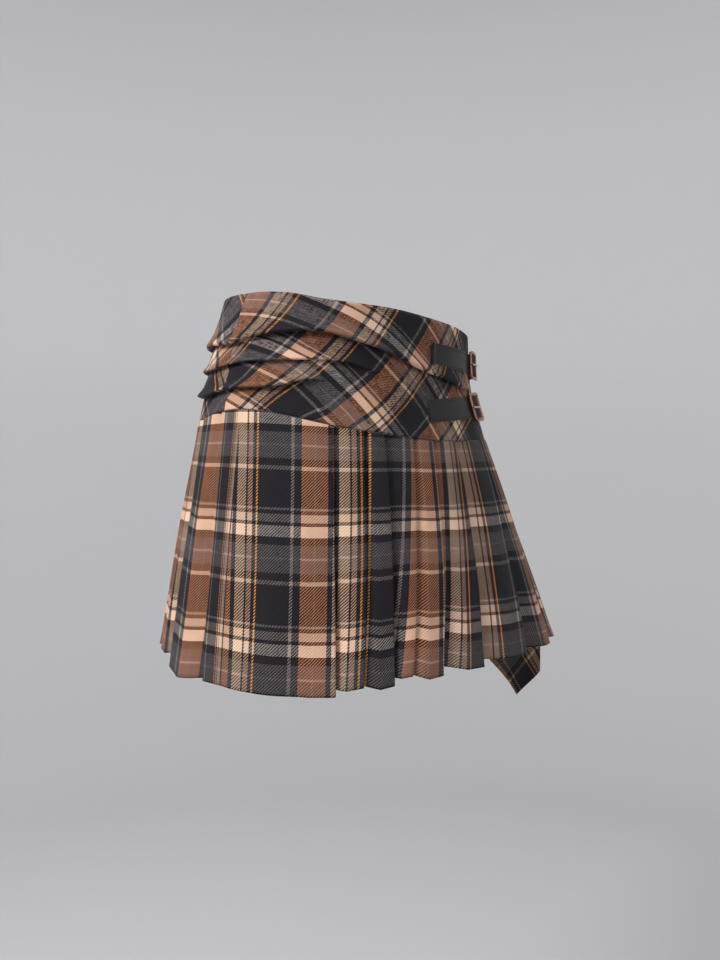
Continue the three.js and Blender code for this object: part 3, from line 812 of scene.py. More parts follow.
@dataclass
class Finishes:
    """Every material of the skirt, made once."""

    plaid: bpy.types.Material = field(default_factory=PlaidFinish().material)
    bias_plaid: bpy.types.Material = field(
        default_factory=PlaidFinish("plaid on the bias", twill=0.28).material)
    # Black lining inside the yoke, also put on the skirt's sewn-in row as painted shade along the seam.
    lining_and_seam_shade: bpy.types.Material = field(default_factory=GrainFinish(
        "black lining", srgb(30, 29, 32), srgb(44, 42, 45), (0.5, 0.62), 900.0, 0.15).material)
    leather: bpy.types.Material = field(default_factory=GrainFinish(
        "black leather", srgb(20, 19, 21), srgb(33, 31, 33), (0.36, 0.5), 1400.0, 0.12,
        specular=0.26).material)
    copper: bpy.types.Material = field(default_factory=GrainFinish(
        "antique copper", srgb(200, 142, 112), srgb(110, 70, 52), (0.12, 0.34), 700.0, 0.04,
        1.0).material)
    silver: bpy.types.Material = field(default_factory=GrainFinish(
        "plain silver metal", srgb(214, 210, 200), srgb(170, 165, 155), (0.18, 0.32), 700.0, 0.03,
        1.0).material)
    thread: bpy.types.Material = field(default_factory=GrainFinish(
        "black thread", srgb(28, 27, 28), srgb(48, 46, 47), (0.6, 0.8), 2600.0, 0.1,
        specular=0.3).material)


@dataclass(frozen=True)
class Tuck:
    """One sideways tuck of the yoke, as rows of angle, share down the yoke and fullness."""

    rows: Table

    def edge(self, t: np.ndarray) -> np.ndarray:
        """Share down the yoke of the fold edge."""
        angles, shares, _ = zip(*self.rows)
        return smooth_table(angles, shares, t)

    def full(self, t: np.ndarray) -> np.ndarray:
        """How fully the fold stands out, from 0 to 1."""
        angles, _, fullness = zip(*self.rows)
        return np.clip(smooth_table(angles, fullness, t), 0, 1)


@dataclass(frozen=True)
class Ripple:
    """A soft ridge or dent on the yoke: centre, half lengths, turn in degrees and height."""

    t: float
    v: float
    long: float
    wide: float
    turn: float
    height: float

    def rise(self, t: np.ndarray, v: np.ndarray) -> np.ndarray:
        """Height times exp(-(along/long)^2 - (aside/wide)^2), laid out flat on the yoke.

        Args:
            t: Angles to read.
            v: Shares down the yoke to read.

        Returns:
            The rise at each place.
        """
        x, y = (t - self.t) * BodyForm.YOKE_ARC, (self.v - v) * BodyForm.YOKE_DROP
        c, s = math.cos(math.radians(self.turn)), math.sin(math.radians(self.turn))
        along, aside = x * c + y * s, y * c - x * s
        return self.height * np.exp(-(along / self.long) ** 2 - (aside / self.wide) ** 2)


@dataclass
class TuckedYoke:
    """The bias-cut hip yoke with three soft tucks at the wearer's right side and back."""

    finishes: Finishes
    bulge: float = 7.0
    undercut: float = 0.045
    flat_fullness: float = 0.4
    valley: float = 1.3
    wall: float = 1.1
    side_gap: float = 0.02
    columns: int = 300
    row_steps: int = 5
    cloth_map: dict[Side, Table] = field(default_factory=lambda: {
        Side.FRONT: ((-28.9, 88.5, 31.4, -2.2, 14.7, 22.6), (17.3, -7.7, 151.4, -15.8, -27.8, -20.7)),
        Side.BACK: ((-22.0, -74.3, 66.9, 0.0, 0.0, 0.0), (10.0, -66.9, -74.3, 0.0, 0.0, 0.0))})
    fold_jump: Table = ((4.4, 5.6), (3.3, 4.5), (-2.4, -6.7))
    profile: Table = ((0.35, 0.14), (0.62, 0.34), (0.82, 0.72), (0.94, 1.0), (1.0, 0.62))
    last_rows: int = 3
    tucks: tuple[Tuck, ...] = (
        Tuck((
            (-180, 0.439, 1), (-169, 0.4, 1), (-160, 0.359, 1), (-151, 0.32, 1),
            (-143, 0.28, 1), (-135, 0.277, 1), (-127, 0.3, 1), (-115, 0.344, 1),
            (-106, 0.395, 1), (-99, 0.434, 0.98), (-91, 0.467, 0.94), (-85, 0.482, 0.88),
            (-76, 0.515, 0.75), (-68, 0.54, 0.5), (-58, 0.5, 0), (0, 0.4, 0),
            (40, 0.39, 0.4), (90, 0.4, 0.85), (140, 0.4, 1), (160, 0.4, 1),
            (172, 0.43, 1), (180, 0.439, 1))),
        Tuck((
            (-180, 0.62, 0.75), (-167, 0.596, 0.75), (-158, 0.578, 0.75), (-146, 0.529, 0.72),
            (-138, 0.497, 0.7), (-127, 0.485, 0.5), (-117, 0.52, 0.2), (-108, 0.56, 0),
            (-62, 0.64, 0), (0, 0.6, 0), (55, 0.61, 0.4), (100, 0.62, 0.7),
            (150, 0.6, 0.75), (167, 0.625, 0.75), (180, 0.62, 0.75))),
        Tuck((
            (-180, 0.83, 0.9), (-171, 0.826, 0.9), (-162, 0.812, 0.9), (-154, 0.772, 0.85),
            (-146, 0.7, 0.7), (-141, 0.666, 0.5), (-134, 0.66, 0), (-105, 0.73, 0),
            (-60, 0.8, 0), (0, 0.8, 0), (60, 0.81, 0.3), (110, 0.82, 0.7),
            (150, 0.8, 0.9), (166, 0.838, 0.9), (180, 0.83, 0.9))),
    )
    ripples: tuple[Ripple, ...] = (
        Ripple(-104, 0.72, 36, 16, 0, 3.0),
        Ripple(-64, 0.52, 14, 5, 65, 2.2),
        Ripple(-69, 0.56, 16, 4, 60, -1.6),
        Ripple(-58, 0.55, 12, 4, 75, 1.4),
        Ripple(-150, 0.2, 40, 6, 12, 0.9),
        Ripple(-118, 0.17, 38, 6, -18, 1.0),
        Ripple(-84, 0.28, 34, 7, -22, 1.1),
        Ripple(-120, 0.62, 30, 4, -16, 1.0),
        Ripple(-95, 0.6, 26, 4, -28, -0.9),
        Ripple(-160, 0.92, 30, 4, 4, 0.7),
    )

    def control_rows(self, t: np.ndarray) -> np.ndarray:
        """Rows of the outer face: each tier swells, rolls over its fold edge and tucks under.

        Args:
            t: Angles of the columns.

        Returns:
            Rows by columns by four values: share down the yoke, distance out, and how far the
            plaid has jumped along its two directions in the folds above.
        """
        flat, jump = np.zeros_like(t), np.zeros((2, len(t)))
        rows, start = [np.stack([flat, flat, *jump])], flat
        for tuck, hidden in zip(self.tucks, self.fold_jump):
            edge, full = tuck.edge(t), tuck.full(t)
            for u, out in self.profile:
                rows.append(np.stack([mix(start, edge, u), out * full * self.bulge, *jump]))
            start = edge + self.undercut * (self.flat_fullness - full)
            jump = jump + np.outer(hidden, full)
            rows.append(np.stack([start, -self.valley * full, *jump]))
        for row in range(1, self.last_rows + 1):
            rows.append(np.stack([mix(start, 1.0, row / self.last_rows), flat, *jump]))
        return np.moveaxis(np.stack(rows), 1, -1)

    def reach(self, t: np.ndarray, low: np.ndarray, high: np.ndarray) -> np.ndarray:
        """Furthest that the tucks stand out between two shares down the yoke.

        Args:
            t: Angles to read.
            low: Upper share at each angle.
            high: Lower share at each angle.

        Returns:
            The distance at each angle.
        """
        shares, outs, _, _ = np.moveaxis(self.control_rows(t), -1, 0)
        inside = (shares >= low) & (shares <= high)
        return np.where(inside, outs, 0).max(axis=0)

    def surface(self, side: Side) -> tuple[np.ndarray, np.ndarray]:
        """Points and cloth places of one half of the yoke.

        Each cloth place is a sum of 1, x, y, x^2, xy and y^2, where x is the arc round the body
        and y the length down the cloth in decimetres, plus the jumps in the folds above.

        Args:
            side: The half to make.

        Returns:
            Grid of points and grid of cloth places.
        """
        middle = BodyForm.yoke_section(0.5)
        margin = self.side_gap / 2 / float(middle.arc_per_degree(0.0))
        first = -180 if side is Side.FRONT else 0
        t = np.linspace(first + margin, first + 180 - margin, self.columns)
        fine = refine_rows(self.control_rows(t), self.row_steps)
        v, out, jump = fine[..., 0], fine[..., 1], fine[..., 2:]
        angle = np.broadcast_to(t, v.shape)
        edge_fade = np.sin(np.pi * np.clip(v, 0, 1)) ** 0.5
        for ripple in self.ripples:
            out = out + ripple.rise(angle, v) * edge_fade
        points = BodyForm.yoke_point(angle, v, out)
        arcs = middle.arc_per_degree((t[1:] + t[:-1]) / 2) * np.diff(t)
        arc = np.concatenate([[0], np.cumsum(arcs)])
        lengths = np.linalg.norm(np.diff(points, axis=0), axis=-1)
        down = np.concatenate([np.zeros((1, len(t))), np.cumsum(lengths, axis=0)])
        x, y = np.broadcast_to(arc / DECIMETRE, down.shape), down / DECIMETRE
        powers = np.stack([np.ones_like(x), x, y, x * x, x * y, y * y], axis=-1)
        return points, powers @ np.array(self.cloth_map[side]).T + jump

    def build(self) -> None:
        for side in Side:
            points, uv = self.surface(side)
            name = f"yoke_{side.value}"
            piece = cloth_sheet(f"{name}_cloth", points, uv, self.wall, -1)
            materials = (self.finishes.bias_plaid, self.finishes.lining_and_seam_shade)
            dress_cloth(piece, name, materials)


def dress_cloth(piece: bpy.types.Object, node: str,
                materials: tuple[bpy.types.Material, ...]) -> None:
    """Give a sheet its materials, ride it on the body and hide the part that it stands for.
        materials: The face's material, the inside's, and further ones.
    """
    for material in materials:
        piece.data.materials.append(material)
    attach(piece, "root")
    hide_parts(node)
    LOG.info("made %s", piece.name)


@dataclass(frozen=True)
class Pleat:
    """One fold edge, as pairs for the seam and the hem where two values are given.

    The angles place the edge, the fullness scales its layers, the step is how far it hangs
    below the panel beside it, and the plaid places say where the pattern is at the edge.
    """

    angles: tuple[float, float]
    facing: Facing
    fullness: float
    step: float
    plaid: tuple[float, float]


def pleat_row(seam: float, hem: float, facing: int, fullness: float, step: float,
              plaid_seam: float, plaid_hem: float) -> Pleat:
    """Shorter way to write a row of the pleat table."""
    return Pleat((seam, hem), Facing(facing), fullness, step, (plaid_seam, plaid_hem))


@dataclass
class PleatedSkirt:
    """The knife-pleated skirt with its flat apron panel."""

    finishes: Finishes
    cloth: float = 0.9
    inset: float = 0.6
    pitch_seam: float = 2.4
    pitch_hem: float = 4.5
    stitched_to: float = 0.2
    depth: float = 20.0
    depth_share: float = 0.55
    nose: float = 1.2
    nose_points: int = 9
    layer_points: int = 5
    past_edge: float = 1.0
    bow_range: tuple[float, float] = (-0.6, 1.8)
    panel_step: float = 3.6
    rows: int = 64
    front_pleats: int = 13
    weft_places: tuple[float, float] = (90.0, 311.8)
    seam_share: float = 0.7
    joining_layer: float = -0.45
    joining_backs: tuple[float, float] = (8.0, 2.0)
    sewn_out: float = -3.3
    sewn_rise: float = 2.4
    wave: float = 1.1
    wave_turns: Table = ((0.39, 3.0), (0.11, -4.0))
    pleats: tuple[Pleat, ...] = (
        pleat_row(-181.3, -177.7, -1, 1, 0.5, 64, 50), pleat_row(-135.3, -139.6, 1, 1, 4, 78.5, 84.5),
        pleat_row(-123.9, -132.8, 1, 0.5, 0.5, 20.8, 22.8), pleat_row(-116.2, -125, 1, 1, 5, 31.8, 42.5),
        pleat_row(-105, -120.5, 1, 0.5, 0.5, 58, 64.5), pleat_row(-96.2, -112.3, 1, 1, 6, 82, 82),
        pleat_row(-84.1, -99.7, 1, 1, 5, 19, 36), pleat_row(-63.5, -82.3, 1, 1, 3, 48, 56),
        pleat_row(-52, -65, 1, 1, 3, 66, 74), pleat_row(-40, -44.5, 1, 1, 3, 30, 34),
        pleat_row(-27, -28, 1, 1, 3, 70, 74), pleat_row(-12, -12, 1, 1, 3, 30, 34),
        pleat_row(4, 5, 1, 1, 3, 70, 74), pleat_row(20, 21, 1, 1, 3, 30, 34),
        pleat_row(35, 36.5, 1, 1, 3, 70, 74), pleat_row(50, 52, 1, 1, 3, 30, 34),
        pleat_row(63, 65, 1, 1, 3, 70, 74), pleat_row(76, 77, 1, 1, 3, 30, 34),
        pleat_row(88.8, 89, 1, 1, 3, 70, 74), pleat_row(91.2, 91, -1, 1, 3, 50, 46),
        pleat_row(102.8, 102.5, -1, 1, 3, 10, 6), pleat_row(114.6, 114.5, -1, 1, 3, 50, 46),
        pleat_row(126.4, 127, -1, 1, 3, 10, 6), pleat_row(138.6, 140.5, -1, 1, 3, 50, 46),
        pleat_row(151, 155.5, -1, 1, 3, 68, 64), pleat_row(162.7, 163.3, -1, 1, 10, 36, 33),
    )
    seed: int = 7

    def __post_init__(self) -> None:
        """Work out the levels down the skirt and each pleat's own small bow."""
        self.s = np.linspace(0, 1, self.rows)
        self.section = BodyForm.skirt_section(self.s)
        chance = np.random.default_rng(self.seed)
        self.bows = chance.uniform(*self.bow_range, len(self.pleats))
        self.depths = [self.turned_under(i) for i in range(len(self.pleats))]

    def edge(self, index: int, s: np.ndarray) -> np.ndarray:
        """Angle of a fold edge at each level."""
        return mix(*self.pleats[index].angles, s)

    def pitch(self, index: int) -> np.ndarray:
        """Spacing of the layers at each level, released below the stitching."""
        released = ease((self.s - self.stitched_to) / (1 - self.stitched_to))
        return mix(self.pitch_seam, self.pitch_hem * self.pleats[index].fullness, released)

    def turned_under(self, index: int) -> float:
        """Depth that is turned under, held below a share of the panel over it.

        Args:
            index: The pleat.

        Returns:
            The depth in millimetres.
        """
        other = (index - self.pleats[index].facing.value) % len(self.pleats)
        s = np.array([0.0, 1.0])
        gap = np.abs(self.edge(other, s) - self.edge(index, s))
        gap = np.minimum(gap, 360 - gap)
        arc = BodyForm.skirt_section(s).arc_per_degree(self.edge(index, s))
        return min(self.depth, self.depth_share * float((gap * arc).min()))

    def layer(self, index: int, back: float, layer: float, place: float) -> np.ndarray:
        """Column of the pleated line at a distance behind a fold edge.

        Args:
            index: The pleat.
            back: Distance behind the fold edge.
            layer: Layer from 0, the lowest, to 2, the visible one.
            place: How far along the cloth the column lies past the fold edge.

        Returns:
            Angle, distance out, hang and cloth place at each level.
        """
        pleat = self.pleats[index]
        arc = self.section.arc_per_degree(self.edge(index, self.s))
        t = self.edge(index, self.s) - pleat.facing.value * back / arc
        out = -(2 - layer) * self.pitch(index)
        hang = pleat.step * layer * self.s**2 / 2
        cloth = mix(*pleat.plaid, self.s) + pleat.facing.value * place
        return np.stack([t, out, hang, cloth])

    def fold(self, index: int) -> list[np.ndarray]:
        """Columns round a fold: over the nose, back under it, round and forward again.

        Args:
            index: The pleat.

        Returns:
            Columns in the order of rising angle.
        """
        depth, nose = self.depths[index], self.nose
        turn = np.linspace(0, np.pi, self.nose_points)
        columns = []
        for a in turn:
            columns.append(self.layer(index, nose * (1 - math.sin(a)), 1.5 + 0.5 * math.cos(a),
                                      nose * (a / np.pi * 2 - 1)))
        for back in np.linspace(nose, depth - nose, self.layer_points)[1:-1]:
            columns.append(self.layer(index, back, 1.0, back))
        for a in turn:
            columns.append(self.layer(index, depth - nose * (1 - math.sin(a)),
                                      0.5 + 0.5 * math.cos(a), depth + nose * (a / np.pi * 2 - 1)))
        for back in np.linspace(depth - nose, 0, self.layer_points)[1:]:
            columns.append(self.layer(index, back, 0.0, 2 * depth - back))
        return columns if self.pleats[index].facing is Facing.ONWARD else columns[::-1]

    def panel_end(self, index: int, side: int) -> np.ndarray:
        """Where the open panel begins beside a fold, over its layers or past its edge.

        Args:
            index: The pleat.
            side: 1 for the panel after the pleat, -1 for the one before it.

        Returns:
            The column there.
        """
        if self.pleats[index].facing.value != side:
            back = self.depths[index] + self.nose
            return self.layer(index, back, 2.0, -back)
        return self.layer(index, -self.past_edge, 0.0, 0.0)

    def panel(self, left: int, right: int, turn: float) -> list[np.ndarray]:
        """Columns across a panel: it rises smoothly from under one pleat to over the next.

        The plaid keeps its distance from the fold edge that the panel ends in.

        Args:
            left: Pleat before the panel.
            right: Pleat after the panel.
            turn: Degrees to add to the right pleat, where the panel closes the round.

        Returns:
            Columns across the panel.
        """
        a, b = self.panel_end(left, 1), self.panel_end(right, -1).copy()
        b[0] += turn
        arc = self.section.arc_per_degree((a[0] + b[0]) / 2)
        width = (b[0] - a[0]) * arc
        steps = max(2, int(round(float(width[-1]) / self.panel_step)))
        right_holds = self.pleats[right].facing is Facing.ONWARD
        left_holds = self.pleats[left].facing is Facing.BACK
        columns = []
        for f in np.linspace(0, 1, steps + 1):
            column = mix(a, b, f)
            column[1] = mix(a[1], b[1], ease(np.array(f)))
            column[1] += self.bows[right] * math.sin(math.pi * f) * self.s
            if right_holds:
                column[3] = b[3] - (1 - f) * width
            elif left_holds:
                column[3] = a[3] + f * width
            columns.append(column)
        return columns

    def line(self, side: Side) -> np.ndarray:
        """Middle line of the cloth of one half at every level.

        Args:
            side: The half to make.

        Returns:
            Array of four values, rows and columns: angle, out, hang and plaid place.
        """
        last = self.front_pleats - 1
        columns: list[np.ndarray] = []
        if side is Side.FRONT:
            columns.extend(self.fold(0)[1:])
            for index in range(1, last + 1):
                columns.extend(self.panel(index - 1, index, 0))
                fold = self.fold(index)
                columns.extend(fold if index < last else fold[:-1])
        else:
            columns.extend(self.layer(last, back, self.joining_layer, 0.0)
                           for back in self.joining_backs)
            columns.extend(self.panel(last, last + 1, 0))
            for index in range(last + 1, len(self.pleats)):
                columns.extend(self.fold(index))
                following = (index + 1) % len(self.pleats)
                columns.extend(self.panel(index, following, 0 if following else 360))
            for back in reversed(self.joining_backs):
                end = self.layer(0, back, self.joining_layer, 0.0)
                end[0] += 360
                columns.append(end)
        return np.stack(columns, axis=-1)

    def surface(self, side: Side) -> tuple[np.ndarray, np.ndarray]:
        """Points and cloth places of one half.

        The height runs from the seam to the hem line, lowered by the hang, and the cloth waves
        by a product of sines of angle and level. One more row above the seam gathers every
        layer inside the yoke, where it is sewn. The weft place runs evenly from the seam, where
        it takes up a share of the seam's own drop, to the hem.

        Args:
            side: The half to make.

        Returns:
            Grid of points and grid of cloth places.
        """
        t, out, hang, warp = self.line(side)
        s = self.s[:, None]
        hem = BodyForm.hem.height(t)
        z = mix(BodyForm.skirt_top(t), hem, s) - hang
        column = self.section
        wide = Section(column.half_width[:, None], column.half_depth[:, None], column.sway[:, None])
        round_turn, other_turn = (np.sin(t * around + s * down) for around, down in self.wave_turns)
        wave = self.wave * ease(s * 2) * (round_turn * other_turn)
        points = wide.point(t, out - self.inset + wave, z)
        drop = self.seam_share * (BodyForm.seam.height(180.0) - BodyForm.seam.height(t))
        weft = mix(self.weft_places[0] + drop, self.weft_places[1], s)
        cloth = np.stack([warp, weft], axis=-1)
        sewn = BodyForm.skirt_section(0.0).point(t[0], self.sewn_out, z[0] + self.sewn_rise)
        return np.concatenate([sewn[None], points]), np.concatenate([cloth[:1], cloth])

    def build(self) -> None:
        """Make both halves as cloth, with the row that is sewn in painted black as painted shade along
        the seam.
        """
        for side in Side:
            points, uv = self.surface(side)
            name = f"skirt_{side.value}"
            piece = cloth_sheet(f"{name}_pleats", points, uv, self.cloth, 0)
            # Painted shade: the faces of the sewn-in row take the black material, for a dark line at the
            # seam under the yoke.
            sewn = np.arange(len(piece.data.polygons)) < points.shape[1] - 1
            seam_shade_slots = np.where(sewn, 2, 0).astype(np.int32)
            materials = (self.finishes.plaid, self.finishes.plaid, self.finishes.lining_and_seam_shade)
            piece.data.polygons.foreach_set("material_index", seam_shade_slots)
            dress_cloth(piece, name, materials)


@dataclass
class SideTail:
    """The pointed bias strip that hangs at the wearer's left side."""

    finishes: Finishes
    angle: float = -11.0
    top_width: float = 58.0
    width: float = 74.0
    drop: float = 6.0
    corner: float = -353.0
    tip: float = -386.0
    clear: float = 0.8
    flares_to: float = 1.1
    cloth: float = 1.0
    hem_width: float = 6.0
    hem_ramp: float = 1.2
    hem_proud: float = 0.45
    edge_slope: float = 0.75
    free_from: float = 0.75
    free_over: float = 0.35
    free_wave: float = 2.2
    wave_turn: tuple[float, float] = (2.6, 0.6)
    columns: int = 61
    rows: int = 121
    bias: float = 45.0
    plaid_shift: tuple[float, float] = (26.0, 52.0)

    def level(self, t: np.ndarray, z: np.ndarray) -> np.ndarray:
        """How far down the skirt a height lies, held just past the hem."""
        top = BodyForm.skirt_top(t)
        return np.clip((top - z) / (top - BodyForm.hem.height(t)), 0, self.flares_to)

    def surface(self) -> tuple[np.ndarray, np.ndarray]:
        """Points and cloth places of the strip.

        Each column ends on the pointed edge, mix(tip, corner, |side|). The strip waves out by
        a sine across it below the hem, and its hem stands a little proud.

        Returns:
            Grid of points and grid of cloth places.
        """
        side = np.linspace(-1, 1, self.columns)[None, :]
        down = np.linspace(0, 1, self.rows)[:, None]
        top = float(BodyForm.seam.height(self.angle)) - self.drop
        z = mix(top, mix(self.tip, self.corner, np.abs(side)), down)
        level = self.level(self.angle, z)
        width = mix(self.top_width, self.width, level)
        arc = BodyForm.skirt_section(level).arc_per_degree(self.angle)
        t = self.angle + side * width / 2 / arc
        edge = np.minimum(width / 2 * (1 - np.abs(side)), (z - z[-1]) * self.edge_slope)
        proud = self.hem_proud * ease((self.hem_width - edge) / self.hem_ramp)
        free = ease((level - self.free_from) / self.free_over)
        turn, shift = self.wave_turn
        wave = self.free_wave * free * np.sin(side * turn + shift) ** 2
        out = self.clear + self.cloth + proud + wave
        points = BodyForm.skirt_section(self.level(t, z)).point(t, out, z)
        x, y = side * width / 2, top - z
        bias = math.radians(self.bias)
        u = x * math.sin(bias) + y * math.cos(bias)
        w = y * math.sin(bias) - x * math.cos(bias)
        return points, np.stack([u, w], axis=-1) + self.plaid_shift

    def build(self) -> None:
        points, uv = self.surface()
        piece = cloth_sheet("side_sash_cloth", points, uv, self.cloth, -1)
        materials = (self.finishes.plaid, self.finishes.plaid)
        dress_cloth(piece, "side_sash", materials)


@dataclass(frozen=True)
class StrapPlace:
    """Where a strap lies: angle and middle height at the sewn end and at the buckle."""

    name: str
    start: tuple[float, float]
    end: tuple[float, float]


@dataclass
class BuckledStrap:
    """A black strap sewn on the yoke, with its buckle, prong and the leather that holds them.

    Places are given along the strap from the buckle's centre bar, across it, and as a lift
    from the yoke.
    """

    place: StrapPlace
    yoke: TuckedYoke
    finishes: Finishes
    half: float = 10.0
    thick: float = 1.4
    tip_from: float = 33.0
    tip_to: float = 42.0
    tip_half: float = 3.0
    tip_power: float = 1.6
    coarse_step: float = 1.6
    fine_from: float = -16.0
    fine_step: float = 0.5
    seat_spread: int = 12
    path_round: float = 1.6
    squareness: float = 9.0
    band_sides: int = 44
    band_trim: float = 0.35
    chape_thick: float = 1.0
    chape_end: float = 20.0
    chape_low: float = 1.0
    chape_high: float = 5.2
    chape_rest: float = 2.3
    chape_loop: tuple[float, float] = (1.9, 2.1)
    chape_half: float = 9.5
    frame_half: tuple[float, float] = (12.0, 13.5)
    bar: float = 3.0
    bar_thick: float = 2.5
    frame_base: float = 2.9
    frame_points: int = 160
    lean: float = 0.095
    rod: tuple[float, float] = (1.1, 1.0)
    rod_lift: float = 3.4
    rod_end_rise: float = 0.9
    rod_straight: float = 9.6
    rod_bend: float = 2.5
    path: Table = ((-14, 0.5), (-12, 0.9), (-8, 0.95), (-2.5, 6.0), (2.5, 6.0), (8, 3.1),
                   (21, 3.1), (27, 0.5))
    pin: Table = ((0, 4.9, 1), (0, 6.5, 1), (0, 7.8, 1), (-0.4, 8.4, 1), (-1.6, 8.55, 1),
                  (-3.2, 8.5, 1), (-6, 7.7, 1), (-9, 6.9, 0.95), (-12, 6.4, 0.9),
                  (-13.6, 6.75, 0.85), (-15.0, 7.3, 0.7), (-15.3, 7.4, 0.2))
    stitch_inset: float = 1.9
    stitch_length: float = 2.1
    stitch_gap: float = 3.0
    stitch_radius: float = 0.3
    stitch_lift: float = 0.05
    stitches_from: float = 3.0
    stitches_to: float = -17.0
    end_stitches_from: float = 3.2
    reaches: tuple[float, float] = (-2.0, -8.0)
    samples: int = 400

    def __post_init__(self) -> None:
        """Tabulate the angle and the tucks' reach along the strap."""
        before, last = self.reaches
        t = np.linspace(self.place.start[0] + before, last, self.samples)
        arc = BodyForm.yoke_section(0.5).arc_per_degree((t[1:] + t[:-1]) / 2) * np.diff(t)
        run = np.concatenate([[0], np.cumsum(arc)])
        self.run = run - np.interp(self.place.end[0], t, run)
        self.angles = t
        self.length = -float(np.interp(self.place.start[0], t, self.run))
        top, low = self.share(t, self.half), self.share(t, -self.half)
        reach = self.yoke.reach(t, top, low)
        kernel = np.hanning(2 * self.seat_spread + 1)
        padded = np.pad(reach, self.seat_spread, mode="edge")
        self.seat = np.convolve(padded, kernel / kernel.sum(), mode="valid")

    def height(self, t: np.ndarray) -> np.ndarray:
        """Height of the strap's middle line at an angle."""
        (t0, z0), (t1, z1) = self.place.start, self.place.end
        return mix(z0, z1, (t - t0) / (t1 - t0))

    def share(self, t: np.ndarray, across: np.ndarray) -> np.ndarray:
        """Share down the yoke of a place across the strap."""
        waist = BodyForm.waist.height(t)
        return (waist - self.height(t) - across) / (waist - BodyForm.seam.height(t))

    def bend(self, along: np.ndarray, across: np.ndarray, lift: np.ndarray) -> np.ndarray:
        """Point of strap space bent round the yoke.

        Args:
            along: Distance along the strap from the centre bar.
            across: Distance up across the strap.
            lift: Distance out from the yoke.

        Returns:
            Array of points.
        """
        t = np.interp(along, self.run, self.angles)
        v = self.share(t, across)
        out = np.interp(t, self.angles, self.seat) + lift
        return BodyForm.yoke_section(v).point(t, out, self.height(t) + across)

    def lift(self, along: np.ndarray) -> np.ndarray:
        """Height of the strap's under side, a mean over nearby places, so its turns are round.

        Args:
            along: Places along the strap.

        Returns:
            The height at each place.
        """
        places, lifts = zip(*self.path)
        spread = np.linspace(-self.path_round, self.path_round, 9)
        return np.mean([np.interp(along + d, places, lifts) for d in spread], axis=0)

    def band(self, name: str, along: np.ndarray, lift: np.ndarray, half: np.ndarray,
             thick: float, normal: np.ndarray | None = None) -> bpy.types.Object:
        """Flat leather band with rounded edges, carried along a path in strap space.

        Args:
            name: Name of the piece.
            along: Path places along the strap.
            lift: Path heights of the band's middle.
            half: Half width at each place.
            thick: Thickness.
            normal: Direction of the thickness as (along, lift), or None for straight out.

        Returns:
            The band's object.
        """
        ring = superellipse(1.0, thick / 2, self.squareness, self.band_sides)
        if normal is None:
            normal = np.stack([np.zeros_like(along), np.ones_like(along)], axis=-1)
        trim = thick / 2 * (1 - np.abs(ring[:, 1] / (thick / 2)) ** 4)
        half_across = half[:, None] - self.band_trim
        across = ring[None, :, 0] * half_across + np.sign(ring[:, 0]) * trim * 0.5
        places = along[:, None] + normal[:, :1] * ring[None, :, 1]
        lifts = lift[:, None] + normal[:, 1:] * ring[None, :, 1]
        return capped_sweep(name, self.bend(places, across, lifts))

    def dress(self, piece: bpy.types.Object, material: bpy.types.Material,
              node: str | None = None) -> None:
        """Give a piece its material, ride it and hide the part of the node that it stands for.

        Args:
            piece: The piece.
            material: Its material.
            node: The node that it stands for, if it stands for one.
        """
        piece.data.materials.append(material)
        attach(piece, "root")
        if node:
            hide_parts(node)
        LOG.info("made %s", piece.name)

    def build_strap(self) -> None:
        """The strap: flat on the yoke, over the centre bar, to its pointed tip."""
        along = np.concatenate([np.arange(-self.length, self.fine_from, self.coarse_step),
                                np.arange(self.fine_from, self.tip_to, self.fine_step),
                                [self.tip_to]])
        past = np.clip((along - self.tip_from) / (self.tip_to - self.tip_from), 0, 1)
        half = mix(self.half, self.tip_half, past**self.tip_power)
        piece = self.band(f"strap_{self.place.name}_leather", along,
                          self.lift(along) + self.thick / 2, half, self.thick)
        self.dress(piece, self.finishes.leather, f"strap_{self.place.name}")

    def build_chape(self) -> None:
        """The leather that folds round the centre bar and is sewn to the yoke.

        Its lower layer runs to the bar, a half turn takes it round, and its upper layer sinks
        from over the bar to rest on the lower one.
        """
        turn = np.linspace(-np.pi / 2, np.pi / 2, 13)
        loop_out, loop_rise = self.chape_loop
        along = np.concatenate([
            np.linspace(self.chape_end, 0.2, 14), -np.cos(turn) * loop_out,
            np.linspace(0.4, 1.6, 3), np.linspace(2.4, 7, 6), np.linspace(8, self.chape_end, 8)])
        lift = np.concatenate([
            np.full(14, self.chape_low), self.chape_high - loop_rise + np.sin(turn) * loop_rise,
            np.full(3, self.chape_high), mix(5.0, self.chape_rest, ease(np.linspace(0.05, 1, 6))),
            np.full(8, self.chape_rest)])
        step = unit_steps(np.stack([along, lift], axis=-1))
        normal = np.stack([step[:, 1], -step[:, 0]], axis=-1)
        piece = self.band(f"chape_{self.place.name}_leather", along, lift,
                          np.full_like(along, self.chape_half), self.chape_thick, normal)
        self.dress(piece, self.finishes.leather, f"chape_{self.place.name}")

    def frame_lift(self, along: np.ndarray) -> np.ndarray:
        """Height of the buckle's middle, which leans outwards away from the sewn strap."""
        rise = self.lean * (along + self.frame_half[0] - self.bar / 2)
        return self.frame_base + self.bar_thick / 2 + rise

